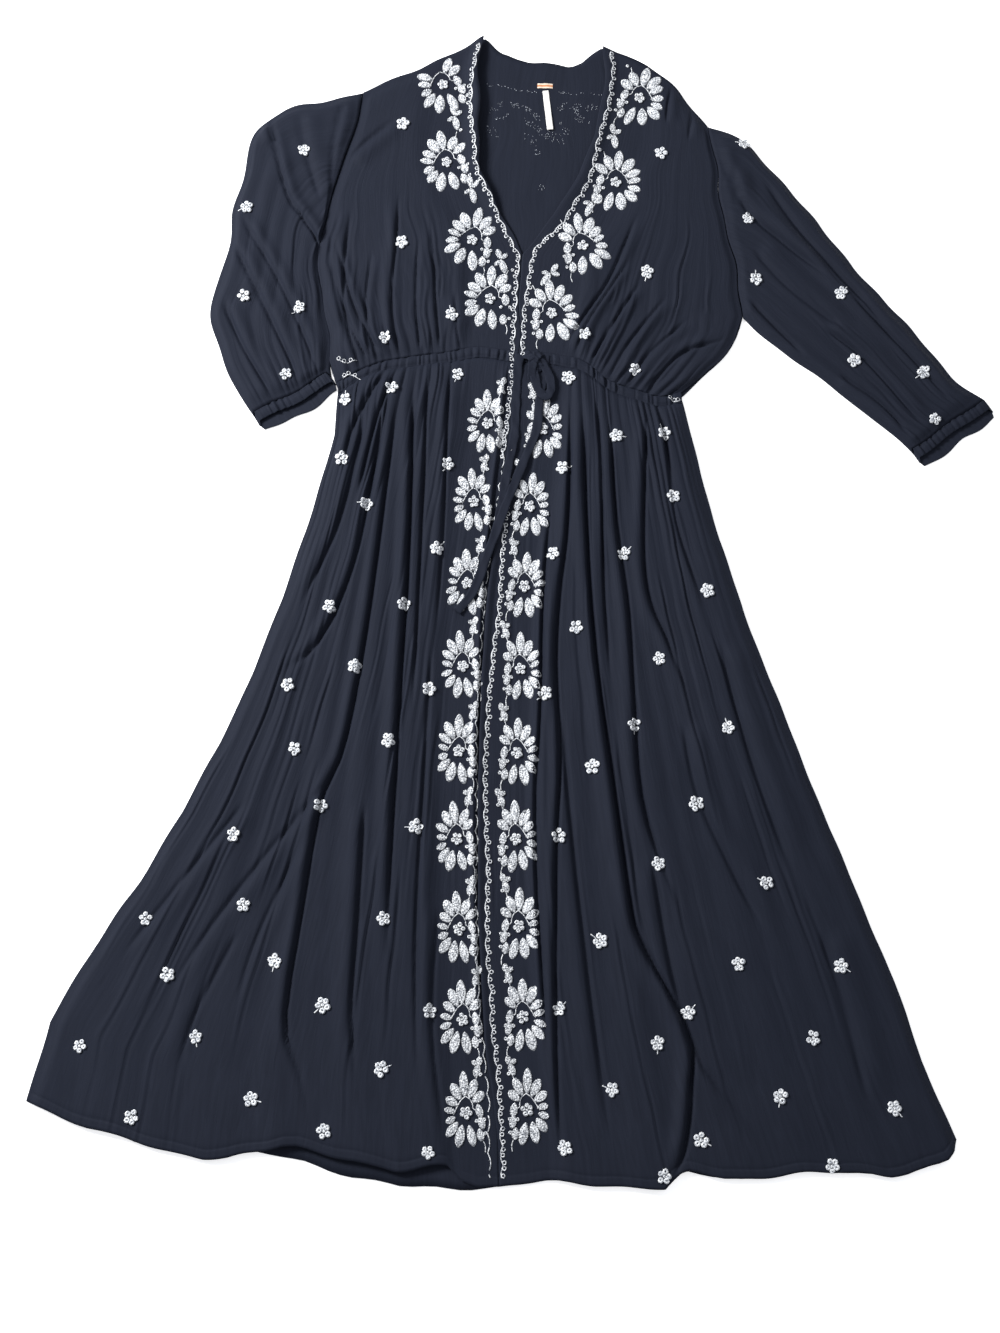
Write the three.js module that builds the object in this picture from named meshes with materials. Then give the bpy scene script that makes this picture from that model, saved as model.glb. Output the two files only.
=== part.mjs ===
// A long peasant dress in dark crinkled rayon, laid flat on its back with its front uppermost.
// Millimetres. X runs across the dress, Y up towards the neck and Z up from the surface it lies on.
// Right and left are the wearer's, so the wearer's right side is at negative X.
// It is drawn with zero at the middle of the waist, then moved to stand over its middle.

import * as THREE from 'three';

// Cloth, seams and the levels at which the layers lie
const clothThickness = 1.3;
const seamGap = 0.3;
const armholeGap = 0.4;
const frontLevel = clothThickness + seamGap;
const frontTop = frontLevel + clothThickness;
const threadThickness = 1.4;
const flowerLevel = frontTop + seamGap;
const sleeveHollow = 0.7;
const sleeveTop = 2 * clothThickness + sleeveHollow;

// Waist casing, cuffs, labels and drawstring
const casingDepth = 11;
const casingRise = 1.2;
const cuffDepth = 12;
const cuffRise = 1.6;
const sleeveMouth = 10;
const labelThickness = 1;
const neckLabel = { x: 32, y: 331, wide: 17, tall: 6, turn: -0.02 };
const careLabel = { x: 35, y: 300, wide: 7, tall: 50, turn: 0.1 };
const tieWidth = 10;
const tieThickness = 1.4;

// How finely the pieces are divided
const columnsPerFold = 3;
const rowsToBust = 5;
const rowsToWaist = 4;
const rowsToHem = 10;
const rowsInCasing = 2;
const rowsInSleeve = 11;
const rowsInCuff = 1;
const columnsUnderSleeve = 6;
const pointsPerBackEdge = 10;

// Points where seams meet
const frontPoint = { x: 5, y: 123 };
const waistFront = { x: 0, y: 0 };
const hemFront = { x: -20, y: -878 };
const neckPoint = { right: { x: -40, y: 392 }, left: { x: 102, y: 380 } };
const shoulderPoint = { right: { x: -174, y: 324 }, left: { x: 217, y: 281 } };
const underarm = { right: { x: -223, y: 139 }, left: { x: 251, y: 44 } };
const waistSide = { right: { x: -190, y: -40 }, left: { x: 180, y: -48 } };
const hemSide = { right: { x: -493, y: -795 }, left: { x: 434, y: -833 } };
const cuffOuter = { right: { x: -280, y: -88 }, left: { x: 524, y: -72 } };
const cuffInner = { right: { x: -197, y: -40 }, left: { x: 440, y: -128 } };

// Edges between those points, each from the neck towards the hem or from the middle outwards
const neckEdge = {
  right: [{ x: -45, y: 287 }, { x: -40, y: 224 }, { x: -20, y: 169 }],
  left: [{ x: 95, y: 300 }, { x: 83, y: 249 }, { x: 59, y: 200 }, { x: 31, y: 150 }],
};
const backNeckEdge = [{ x: -20, y: 374 }, { x: 5, y: 362 }, { x: 35, y: 363 }, { x: 68, y: 361 }];
const shoulderEdge = {
  right: [{ x: -118, y: 350 }],
  left: [{ x: 145, y: 359 }, { x: 182, y: 331 }],
};
const bodiceSideEdge = {
  right: [{ x: -214, y: 65 }, { x: -202, y: 12 }],
  left: [{ x: 243, y: 20 }, { x: 215, y: -17 }],
};
const waistEdge = {
  right: [{ x: -39, y: 1 }, { x: -95, y: -5 }, { x: -137, y: -9 }, { x: -164, y: -23 }],
  left: [{ x: 52, y: -7 }, { x: 78, y: -20 }, { x: 98, y: -37 }, { x: 130, y: -46 }, { x: 155, y: -54 }],
};
const centreFrontEdge = [
  { x: -3, y: -82 },
  { x: -18, y: -172 },
  { x: -29, y: -355 },
  { x: -34, y: -535 },
  { x: -27, y: -719 },
];
const skirtSideEdge = {
  right: [{ x: -205, y: -111 }, { x: -260, y: -301 }, { x: -332, y: -473 }, { x: -409, y: -607 },
    { x: -470, y: -707 }],
  left: [{ x: 198, y: -134 }, { x: 236, y: -279 }, { x: 322, y: -525 }, { x: 394, y: -717 },
    { x: 408, y: -785 }],
};
const frontHemEdge = {
  right: [{ x: -52, y: -874 }, { x: -72, y: -856 }, { x: -120, y: -864 }, { x: -170, y: -851 },
    { x: -225, y: -839 }, { x: -262, y: -846 }, { x: -317, y: -849 }, { x: -408, y: -828 }],
  left: [{ x: 39, y: -873 }, { x: 118, y: -878 }, { x: 146, y: -880 }, { x: 168, y: -863 },
    { x: 217, y: -869 }, { x: 326, y: -863 }, { x: 376, y: -866 }, { x: 422, y: -853 }],
};
const backHemEdge = {
  right: [{ x: -79, y: -879 }, { x: -119, y: -878 }, { x: -173, y: -866 }, { x: -218, y: -852 },
    { x: -253, y: -846 }, { x: -317, y: -849 }, { x: -408, y: -828 }],
  left: frontHemEdge.left,
};
const sleeveOuterEdge = {
  right: [{ x: -215, y: 313 }, { x: -287, y: 293 }, { x: -311, y: 233 }, { x: -327, y: 117 },
    { x: -344, y: 50 }, { x: -320, y: -26 }],
  left: [{ x: 257, y: 266 }, { x: 290, y: 221 }, { x: 353, y: 136 }, { x: 430, y: 42 },
    { x: 491, y: -46 }],
};
const sleeveInnerEdge = {
  right: [{ x: -218, y: 65 }, { x: -207, y: 12 }],
  left: [{ x: 280, y: 18 }, { x: 343, y: -37 }, { x: 415, y: -98 }],
};

// How far down the shoulder and armhole the gathers of the bodice begin
const bodiceGathersFrom = 0.3;

// Gathers of each front, from the middle outwards. A row is one rounded fold that runs from the shoulder
// through the waist to the hem. Places are shares of the way from the middle to the side, and rises are
// heights of the fold above the layer under it. The first row is the flat embroidered band.
const gathers = {
  right: [
    { shoulder: 0.00, waist: 0.00, hem: 0.00, bodiceRise: 0.0, waistRise: 0.0, middleRise: 0, hemRise: 0 },
    { shoulder: 0.56, waist: 0.32, hem: 0.12, bodiceRise: 1.6, waistRise: 2.2, middleRise: 3, hemRise: 2 },
    { shoulder: 0.60, waist: 0.38, hem: 0.15, bodiceRise: 2.4, waistRise: 2.6, middleRise: 5, hemRise: 3 },
    { shoulder: 0.66, waist: 0.46, hem: 0.18, bodiceRise: 1.8, waistRise: 2.8, middleRise: 4, hemRise: 1 },
    { shoulder: 0.71, waist: 0.51, hem: 0.20, bodiceRise: 2.4, waistRise: 2.4, middleRise: 8, hemRise: 3 },
    { shoulder: 0.77, waist: 0.58, hem: 0.23, bodiceRise: 2.8, waistRise: 3.2, middleRise: 9, hemRise: 3 },
    { shoulder: 0.82, waist: 0.66, hem: 0.36, bodiceRise: 1.6, waistRise: 2.6, middleRise: 4, hemRise: 0 },
    { shoulder: 0.85, waist: 0.71, hem: 0.43, bodiceRise: 2.6, waistRise: 3.0, middleRise: 8, hemRise: 6 },
    { shoulder: 0.89, waist: 0.78, hem: 0.52, bodiceRise: 2.2, waistRise: 3.2, middleRise: 5, hemRise: 3 },
    { shoulder: 0.92, waist: 0.83, hem: 0.67, bodiceRise: 1.6, waistRise: 2.6, middleRise: 8, hemRise: 2 },
    { shoulder: 0.95, waist: 0.90, hem: 0.76, bodiceRise: 2.2, waistRise: 3.0, middleRise: 4, hemRise: 5 },
    { shoulder: 0.97, waist: 0.94, hem: 0.91, bodiceRise: 1.4, waistRise: 2.2, middleRise: 2, hemRise: 1 },
  ],
  left: [
    { shoulder: 0.00, waist: 0.00, hem: 0.00, bodiceRise: 0.0, waistRise: 0.0, middleRise: 0, hemRise: 0 },
    { shoulder: 0.54, waist: 0.31, hem: 0.14, bodiceRise: 1.8, waistRise: 2.4, middleRise: 4, hemRise: 1 },
    { shoulder: 0.59, waist: 0.36, hem: 0.25, bodiceRise: 3.0, waistRise: 3.2, middleRise: 9, hemRise: 8 },
    { shoulder: 0.65, waist: 0.42, hem: 0.39, bodiceRise: 2.2, waistRise: 2.8, middleRise: 4, hemRise: 1 },
    { shoulder: 0.69, waist: 0.48, hem: 0.45, bodiceRise: 3.2, waistRise: 3.2, middleRise: 8, hemRise: 2 },
    { shoulder: 0.75, waist: 0.57, hem: 0.55, bodiceRise: 2.0, waistRise: 2.6, middleRise: 5, hemRise: 0 },
    { shoulder: 0.79, waist: 0.63, hem: 0.60, bodiceRise: 2.8, waistRise: 3.2, middleRise: 6, hemRise: 3 },
    { shoulder: 0.85, waist: 0.73, hem: 0.69, bodiceRise: 2.2, waistRise: 2.8, middleRise: 7, hemRise: 1 },
    { shoulder: 0.88, waist: 0.79, hem: 0.77, bodiceRise: 3.0, waistRise: 3.0, middleRise: 4, hemRise: 3 },
    { shoulder: 0.92, waist: 0.87, hem: 0.83, bodiceRise: 1.8, waistRise: 2.6, middleRise: 5, hemRise: 0 },
    { shoulder: 0.96, waist: 0.93, hem: 0.93, bodiceRise: 1.4, waistRise: 2.2, middleRise: 2, hemRise: 2 },
  ],
};

// Folds along the upper layer of each sleeve, from its outer edge to the one beside the body
const sleeveFolds = {
  right: [
    { armhole: 0.00, cuff: 0.00, armholeRise: 1.5, middleRise: 3, cuffRise: 2.0 },
    { armhole: 0.22, cuff: 0.17, armholeRise: 2.0, middleRise: 5, cuffRise: 2.6 },
    { armhole: 0.40, cuff: 0.34, armholeRise: 1.0, middleRise: 4, cuffRise: 2.2 },
    { armhole: 0.56, cuff: 0.50, armholeRise: 1.0, middleRise: 5, cuffRise: 2.8 },
    { armhole: 0.72, cuff: 0.67, armholeRise: 1.0, middleRise: 4, cuffRise: 2.4 },
    { armhole: 0.86, cuff: 0.83, armholeRise: 1.0, middleRise: 3, cuffRise: 2.0 },
  ],
  left: [
    { armhole: 0.00, cuff: 0.00, armholeRise: 2.0, middleRise: 4, cuffRise: 2.2 },
    { armhole: 0.20, cuff: 0.17, armholeRise: 2.0, middleRise: 4, cuffRise: 2.8 },
    { armhole: 0.38, cuff: 0.34, armholeRise: 1.0, middleRise: 3, cuffRise: 2.2 },
    { armhole: 0.54, cuff: 0.51, armholeRise: 1.0, middleRise: 5, cuffRise: 3.0 },
    { armhole: 0.70, cuff: 0.68, armholeRise: 1.0, middleRise: 3, cuffRise: 2.2 },
    { armhole: 0.85, cuff: 0.84, armholeRise: 1.5, middleRise: 4, cuffRise: 2.0 },
  ],
};

// Embroidered flowers: beside the neck each has its own place, down the skirt they are evenly spaced
const bodiceFlower = { tall: 62, wide: 56 };
const skirtFlower = { tall: 68, wide: 46 };
const neckFlowers = {
  right: [
    { along: 61, inset: 42 },
    { along: 152, inset: 38 },
    { along: 240, inset: 40 },
    { along: 336, inset: 33 },
  ],
  left: [
    { along: 60, inset: 43 },
    { along: 155, inset: 41 },
    { along: 238, inset: 44 },
    { along: 353, inset: 35 },
  ],
};
const skirtFlowerCount = 9;
const firstSkirtFlower = 82;
const skirtFlowerPitch = 90.5;
const skirtFlowerInset = 30;
const petals = 11;
const eyeShare = 0.36;
const valleyShare = 0.76;
const eyeOutline = [
  { x: 0, y: 0.6 },
  { x: -0.4, y: -0.1 },
  { x: -0.25, y: -0.45 },
  { x: 0.25, y: -0.45 },
  { x: 0.4, y: -0.1 },
];

// Routes of the drawstring, point by point from the casing to the free ends. The right tie lies on the
// cloth between the flowers, the left one crosses over it and the flowers, and the loop lies on both.
const overCloth = flowerLevel + tieThickness / 2;
const leavingCasing = overCloth + 0.5;
const overFlowers = flowerLevel + threadThickness + seamGap + tieThickness / 2;
const overTies = overFlowers + tieThickness + seamGap;
const tieRoute = {
  right: [
    { x: 3, y: -1, z: leavingCasing },
    { x: 0, y: -12, z: leavingCasing },
    { x: -1, y: -30, z: overCloth },
    { x: -3, y: -60, z: overCloth },
    { x: -4, y: -92, z: overCloth },
    { x: -10, y: -126, z: overCloth },
    { x: -15, y: -152, z: overCloth },
    { x: -19, y: -180, z: overCloth },
    { x: -23, y: -200, z: overCloth },
    { x: -28, y: -217, z: overCloth },
  ],
  left: [
    { x: 30, y: -1, z: overCloth },
    { x: 28, y: -18, z: leavingCasing },
    { x: 26, y: -38, z: overFlowers },
    { x: 25, y: -58, z: overFlowers },
    { x: 26, y: -88, z: overFlowers },
    { x: 13, y: -122, z: overFlowers },
    { x: -9, y: -168, z: overFlowers },
    { x: -31, y: -224, z: overFlowers },
    { x: -47, y: -268, z: overFlowers },
    { x: -66, y: -293, z: overFlowers },
  ],
  loop: [
    { x: 16, y: -9, z: overTies },
    { x: 27, y: -3, z: overTies },
    { x: 36, y: -16, z: overTies },
    { x: 39, y: -35, z: overTies },
    { x: 33, y: -49, z: overTies },
    { x: 22, y: -44, z: overTies },
    { x: 18, y: -27, z: overTies },
  ],
};
const tieSteps = { right: 18, left: 24, loop: 16 };
const tieSides = 8;

// Colours and finish
const rayon = new THREE.MeshStandardMaterial({ color: 0x262a36, roughness: 0.78, metalness: 0 });
const thread = new THREE.MeshStandardMaterial({ color: 0xe8e9e8, roughness: 0.7, metalness: 0 });
const labelWeave = new THREE.MeshStandardMaterial({ color: 0xd8b79c, roughness: 0.6, metalness: 0 });
const labelTape = new THREE.MeshStandardMaterial({ color: 0xf1efea, roughness: 0.6, metalness: 0 });

const sides = ['right', 'left'];
const outward = { right: -1, left: 1 };
const mix = THREE.MathUtils.lerp;
const dress = new THREE.Group();

// A smooth edge through two corners and the points between them
function edge(start, between, end) {
  const points = [start, ...between, end].map((point) => new THREE.Vector2(point.x, point.y));
  return new THREE.SplineCurve(points);
}

// The same point moved sideways or up the dress
function moved(point, dx, dy) {
  return { x: point.x + dx, y: point.y + dy };
}

// An edge in two lengths with a corner half way, walked evenly along each
function corneredEdge(first, second) {
  return (share) => (share < 0.5 ? first.getPointAt(2 * share) : second.getPointAt(2 * share - 1));
}

// A panel stretched between four edges: the inner and outer ones run down, the others outwards
function panelBetween(inner, outer, top, bottom) {
  const corners = [inner(0), outer(0), inner(1), outer(1)];
  return (across, down) => {
    const ruled = inner(down).lerp(outer(down), across);
    const hung = top(across).lerp(bottom(across), down);
    const upper = corners[0].clone().lerp(corners[1], across);
    const lower = corners[2].clone().lerp(corners[3], across);
    return ruled.add(hung).sub(upper.lerp(lower, down));
  };
}

// A closed solid from its corner points and triangles, turned so that its faces point outwards
function solid(points, triangles) {
  const positions = points.flatMap((point) => [point.x, point.y, point.z]);
  const volume = triangles.reduce((sum, [a, b, c]) => {
    const normal = new THREE.Vector3().crossVectors(points[b], points[c]);
    return sum + points[a].dot(normal);
  }, 0);
  const facing = volume > 0 ? triangles : triangles.map(([a, b, c]) => [a, c, b]);
  const geometry = new THREE.BufferGeometry();
  geometry.setAttribute('position', new THREE.Float32BufferAttribute(positions, 3));
  geometry.setIndex(facing.flat());
  geometry.computeVertexNormals();
  return geometry;
}

// Two triangles across four corners
function quad(a, b, c, d) {
  return [[a, b, c], [a, c, d]];
}

// A cloth wall from rows of points on its upper face
function clothWall(rows) {
  const columns = rows[0].length;
  const upper = rows.flat();
  const lower = upper.map((point) => point.clone().setZ(point.z - clothThickness));
  const under = upper.length;
  const at = (row, column) => row * columns + column;
  const triangles = [];
  for (let row = 0; row + 1 < rows.length; row += 1) {
    for (let column = 0; column + 1 < columns; column += 1) {
      const corners = [at(row, column), at(row, column + 1), at(row + 1, column + 1), at(row + 1, column)];
      const below = corners.map((corner) => corner + under).reverse();
      triangles.push(...quad(...corners), ...quad(...below));
    }
  }
  const rim = [];
  for (let column = 0; column + 1 < columns; column += 1) rim.push(at(0, column));
  for (let row = 0; row + 1 < rows.length; row += 1) rim.push(at(row, columns - 1));
  for (let column = columns - 1; column > 0; column -= 1) rim.push(at(rows.length - 1, column));
  for (let row = rows.length - 1; row > 0; row -= 1) rim.push(at(row, 0));
  rim.forEach((corner, index) => {
    const next = rim[(index + 1) % rim.length];
    triangles.push(...quad(next, corner, corner + under, next + under));
  });
  return solid([...upper, ...lower], triangles);
}

// A cloth tube from rings of points on its outer and inner faces
function clothTube(outerRings, innerRings) {
  const count = outerRings[0].length;
  const points = [...outerRings.flat(), ...innerRings.flat()];
  const inside = outerRings.length * count;
  const last = outerRings.length - 1;
  const triangles = [];
  for (let index = 0; index < count; index += 1) {
    const next = (index + 1) % count;
    for (let ring = 0; ring < last; ring += 1) {
      const corners = [ring * count + index, ring * count + next, (ring + 1) * count + next,
        (ring + 1) * count + index];
      const within = corners.map((corner) => corner + inside).reverse();
      triangles.push(...quad(...corners), ...quad(...within));
    }
    triangles.push(...quad(next, index, index + inside, next + inside));
    const end = last * count;
    triangles.push(...quad(end + next, end + next + inside, end + index + inside, end + index));
  }
  return solid(points, triangles);
}

// A flat cloth panel cut to an outline
function flatPanel(outline) {
  const shape = new THREE.Shape(outline);
  return new THREE.ExtrudeGeometry(shape, { depth: clothThickness, bevelEnabled: false });
}

// One named piece of the dress
function sew(name, geometry, material) {
  const piece = new THREE.Mesh(geometry, material);
  piece.name = name;
  dress.add(piece);
  return piece;
}

// A value that goes from the start through the middle to the end of a length
function through(start, middle, end, share) {
  return share < 0.5 ? mix(start, middle, 2 * share) : mix(middle, end, 2 * share - 1);
}

// Columns of a gathered panel: each fold gives its valley and the points of its crown
function foldColumns(folds) {
  const columns = folds.flatMap((fold, index) => {
    const next = folds[index + 1];
    const shares = evenSteps(columnsPerFold).slice(0, -1);
    return shares.map((share) => ({ fold, next, share }));
  });
  return [...columns, { fold: folds.at(-1), next: undefined, share: 1 }];
}

// Where a column lies across its panel at one end of the fold, and how much of the crown's height it has
function columnPlace(column, end) {
  const nextPlace = column.next ? column.next[end] : 1;
  return mix(column.fold[end], nextPlace, column.share);
}
function crown(column) {
  return Math.sin(Math.PI * column.share);
}

// The upper face of a gathered panel, row by row
function gatheredRows(panel, columns, steps, top, from, to, rise) {
  return steps.map((down) => columns.map((column) => {
    const across = mix(columnPlace(column, from), columnPlace(column, to), down);
    const place = panel(across, down);
    return new THREE.Vector3(place.x, place.y, top + crown(column) * rise(column.fold, down));
  }));
}

function evenSteps(count) {
  return Array.from({ length: count + 1 }, (_, index) => index / count);
}

// Edges shared by the front and back of each side
const shoulderLine = {};
const armholeLine = {};
const waistLine = {};
for (const side of sides) {
  shoulderLine[side] = edge(neckPoint[side], shoulderEdge[side], shoulderPoint[side]);
  armholeLine[side] = edge(shoulderPoint[side], [], underarm[side]);
  waistLine[side] = edge(waistFront, waistEdge[side], waistSide[side]);
}

// The back, two panels that lie on the surface
function alongEdge(curve, dy) {
  return curve.getSpacedPoints(pointsPerBackEdge).map((point) => new THREE.Vector2(point.x, point.y + dy));
}
function joined(lengths) {
  return lengths.flatMap((points) => points.slice(0, -1));
}
const backNeck = edge(neckPoint.right, backNeckEdge, neckPoint.left);
const backSideBodice = (side) => {
  const lower = edge(underarm[side], bodiceSideEdge[side], moved(waistSide[side], 0, seamGap / 2));
  return [alongEdge(shoulderLine[side], 0), alongEdge(armholeLine[side], 0), alongEdge(lower, 0)];
};
const backSideSkirt = (side) => {
  const upper = edge(moved(waistSide[side], 0, -seamGap / 2), skirtSideEdge[side], hemSide[side]);
  const hem = edge(hemFront, backHemEdge[side], hemSide[side]);
  return [alongEdge(waistLine[side], -seamGap / 2), alongEdge(upper, 0), alongEdge(hem, 0).reverse()];
};
function reversed(lengths) {
  return lengths.map((points) => [...points].reverse()).reverse();
}
const bodiceOutline = joined([
  alongEdge(backNeck, 0),
  ...backSideBodice('left'),
  alongEdge(waistLine.left, seamGap / 2).reverse(),
  alongEdge(waistLine.right, seamGap / 2),
  ...reversed(backSideBodice('right')),
]);
const skirtOutline = joined([...backSideSkirt('left'), ...reversed(backSideSkirt('right'))]);
sew('back_bodice', flatPanel(bodiceOutline), rayon);
sew('back_skirt', flatPanel(skirtOutline), rayon);

// The fronts: bodice, waist casing and skirt of each side, gathered by the same folds
const halfCasing = casingDepth / 2;
const bodiceSteps = evenSteps(rowsToBust).map((step) => step / 2);
bodiceSteps.push(...evenSteps(rowsToWaist).slice(1).map((step) => 0.5 + step / 2));
const neckLine = {};
const centreFrontLine = {};
for (const side of sides) {
  const fromMiddle = outward[side] * seamGap / 2;
  const toCasing = halfCasing + seamGap;
  const waistAt = (dy) => edge(
    moved(waistFront, fromMiddle, dy),
    waistEdge[side].map((point) => moved(point, 0, dy)),
    moved(waistSide[side], 0, dy),
  );
  const columns = foldColumns(gathers[side]);

  const chest = moved(frontPoint, fromMiddle, 0);
  neckLine[side] = edge(neckPoint[side], neckEdge[side], chest);
  const opening = edge(chest, [], moved(waistFront, fromMiddle, toCasing));
  const bodiceEdge = edge(underarm[side], bodiceSideEdge[side], moved(waistSide[side], 0, toCasing));
  const bodiceBottom = waistAt(toCasing);
  const bodice = panelBetween(
    corneredEdge(neckLine[side], opening),
    corneredEdge(armholeLine[side], bodiceEdge),
    (across) => shoulderLine[side].getPointAt(across),
    (across) => bodiceBottom.getPointAt(across),
  );
  const gathered = (down) => THREE.MathUtils.smoothstep(down, bodiceGathersFrom, 1);
  const bodiceRise = (fold, down) => fold.bodiceRise * gathered(down);
  const bodiceRows = gatheredRows(bodice, columns, bodiceSteps, frontTop, 'shoulder', 'waist', bodiceRise);
  sew(`front_bodice_${side}`, clothWall(bodiceRows), rayon);

  const casingTop = waistAt(halfCasing);
  const casingBottom = waistAt(-halfCasing);
  const casing = (across, down) => casingTop.getPointAt(across).lerp(casingBottom.getPointAt(across), down);
  const casingSwell = (fold, down) => casingRise * Math.sin(Math.PI * down) * (fold.waist > 0 ? 1 : 0);
  const casingSteps = evenSteps(rowsInCasing);
  const casingRows = gatheredRows(casing, columns, casingSteps, frontTop, 'waist', 'waist', casingSwell);
  sew(`waist_casing_${side}`, clothWall(casingRows), rayon);

  const skirtTop = waistAt(-toCasing);
  const hem = edge(moved(hemFront, fromMiddle, 0), frontHemEdge[side], hemSide[side]);
  const skirtEdge = edge(moved(waistSide[side], 0, -toCasing), skirtSideEdge[side], hemSide[side]);
  centreFrontLine[side] = edge(
    moved(waistFront, fromMiddle, -toCasing),
    centreFrontEdge.map((point) => moved(point, fromMiddle, 0)),
    moved(hemFront, fromMiddle, 0),
  );
  const skirt = panelBetween(
    (down) => centreFrontLine[side].getPointAt(down),
    (down) => skirtEdge.getPointAt(down),
    (across) => skirtTop.getPointAt(across),
    (across) => hem.getPointAt(across),
  );
  const skirtRise = (fold, down) => through(fold.waistRise, fold.middleRise, fold.hemRise, down);
  const skirtRows = gatheredRows(skirt, columns, evenSteps(rowsToHem), frontTop, 'waist', 'hem', skirtRise);
  sew(`front_skirt_${side}`, clothWall(skirtRows), rayon);
}

// The sleeves and their cuffs: flattened tubes, the upper layer a little shorter so that the mouth shows
function flattenedTube(lower, upper, folds, foldStart, rows, rise) {
  const columns = foldColumns(folds);
  const wallShare = clothThickness / lower(0, 1).distanceTo(lower(1, 1));
  const inset = (across) => THREE.MathUtils.clamp(across, wallShare, 1 - wallShare);
  const under = evenSteps(columnsUnderSleeve);
  const over = [...columns].reverse();
  const outerRings = [];
  const innerRings = [];
  for (const down of evenSteps(rows)) {
    const at = (layer, across, z) => {
      const place = layer(across, down);
      return new THREE.Vector3(place.x, place.y, z);
    };
    const overPlace = (column) => mix(columnPlace(column, foldStart), columnPlace(column, 'cuff'), down);
    const overTop = (column) => sleeveTop + crown(column) * rise(column.fold, down);
    outerRings.push([
      ...under.map((across) => at(lower, across, 0)),
      ...over.map((column) => at(upper, overPlace(column), overTop(column))),
    ]);
    innerRings.push([
      ...under.map((across) => at(lower, inset(across), clothThickness)),
      ...over.map((column) => at(upper, inset(overPlace(column)), overTop(column) - clothThickness)),
    ]);
  }
  return clothTube(outerRings, innerRings);
}
for (const side of sides) {
  const clear = outward[side] * armholeGap;
  const shoulder = moved(shoulderPoint[side], clear, 0);
  const pit = moved(underarm[side], clear, 0);
  const mouth = edge(cuffOuter[side], [], cuffInner[side]);
  const along = mouth.getTangentAt(0);
  const upArm = new THREE.Vector2(along.y, -along.x).multiplyScalar(outward[side]);
  const mouthEnd = (point, distance) => moved(point, upArm.x * distance, upArm.y * distance);
  const sleeveLayer = (setBack) => {
    const reach = cuffDepth + seamGap + setBack;
    const ends = [mouthEnd(cuffOuter[side], reach), mouthEnd(cuffInner[side], reach)];
    const outer = edge(shoulder, sleeveOuterEdge[side], ends[0]);
    const inner = edge(pit, sleeveInnerEdge[side], ends[1]);
    const armhole = edge(shoulder, [], pit);
    const wrist = edge(ends[0], [], ends[1]);
    return panelBetween(
      (down) => outer.getPointAt(down),
      (down) => inner.getPointAt(down),
      (across) => armhole.getPointAt(across),
      (across) => wrist.getPointAt(across),
    );
  };
  const cuffLayer = (setBack) => (across, down) => {
    const distance = setBack + cuffDepth * (1 - down);
    return mouth.getPointAt(across).addScaledVector(upArm, distance);
  };
  const folds = sleeveFolds[side];
  const sleeveRise = (fold, down) => through(fold.armholeRise, fold.middleRise, fold.cuffRise, down);
  const elasticRise = () => cuffRise;
  const sleeve = [sleeveLayer(0), sleeveLayer(sleeveMouth)];
  const cuff = [cuffLayer(0), cuffLayer(sleeveMouth)];
  sew(`sleeve_${side}`, flattenedTube(...sleeve, folds, 'armhole', rowsInSleeve, sleeveRise), rayon);
  sew(`cuff_${side}`, flattenedTube(...cuff, folds, 'cuff', rowsInCuff, elasticRise), rayon);
}

// A thread-filled daisy: pointed petals round an open drop-shaped eye
function daisy({ tall, wide }) {
  const ring = [];
  for (let index = 0; index < 2 * petals; index += 1) {
    const turn = Math.PI * index / petals + Math.PI / 2;
    const reach = index % 2 === 0 ? 0.5 : 0.5 * valleyShare;
    ring.push(new THREE.Vector2(wide * reach * Math.cos(turn), tall * reach * Math.sin(turn)));
  }
  const eye = eyeOutline.map(({ x, y }) => new THREE.Vector2(x * wide * eyeShare, y * tall * eyeShare));
  const shape = new THREE.Shape(ring);
  shape.holes.push(new THREE.Path(eye));
  return new THREE.ExtrudeGeometry(shape, { depth: threadThickness, bevelEnabled: false });
}

// A flower set in from an edge of its panel, at a distance along it
function placeFlower(name, size, curve, along, inset) {
  const share = along / curve.getLength();
  const place = curve.getPointAt(share);
  const run = curve.getTangentAt(share);
  const flower = sew(name, daisy(size), thread);
  flower.position.set(place.x + run.y * inset, place.y - run.x * inset, flowerLevel);
}
for (const side of sides) {
  const inwards = -outward[side];
  const opening = edge(frontPoint, [], waistFront);
  const neckLength = neckLine[side].getLength();
  neckFlowers[side].forEach(({ along, inset }, index) => {
    const name = `flower_bodice_${side}_${index + 1}`;
    const onNeck = along < neckLength;
    const curve = onNeck ? neckLine[side] : opening;
    const start = onNeck ? along : along - neckLength;
    placeFlower(name, bodiceFlower, curve, start, inwards * inset);
  });
  for (let index = 0; index < skirtFlowerCount; index += 1) {
    const along = firstSkirtFlower - halfCasing + index * skirtFlowerPitch;
    const inset = inwards * skirtFlowerInset;
    placeFlower(`flower_skirt_${side}_${index + 1}`, skirtFlower, centreFrontLine[side], along, inset);
  }
}

// The drawstring: flat ties that come out of the casing and lie down the skirt, and a bow loop
const tieSection = new THREE.Shape(Array.from({ length: tieSides }, (_, index) => {
  const turn = 2 * Math.PI * (index + 0.5) / tieSides;
  const toEdge = Math.cos(Math.PI / tieSides);
  return new THREE.Vector2(
    Math.cos(turn) * tieThickness / 2 / toEdge,
    Math.sin(turn) * tieWidth / 2 / toEdge,
  );
}));
for (const [name, route] of Object.entries(tieRoute)) {
  const extrudePath = new THREE.CatmullRomCurve3(route.map(({ x, y, z }) => new THREE.Vector3(x, y, z)));
  const tie = new THREE.ExtrudeGeometry(tieSection, { steps: tieSteps[name], extrudePath });
  sew(`drawstring_${name}`, tie, rayon);
}

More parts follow.
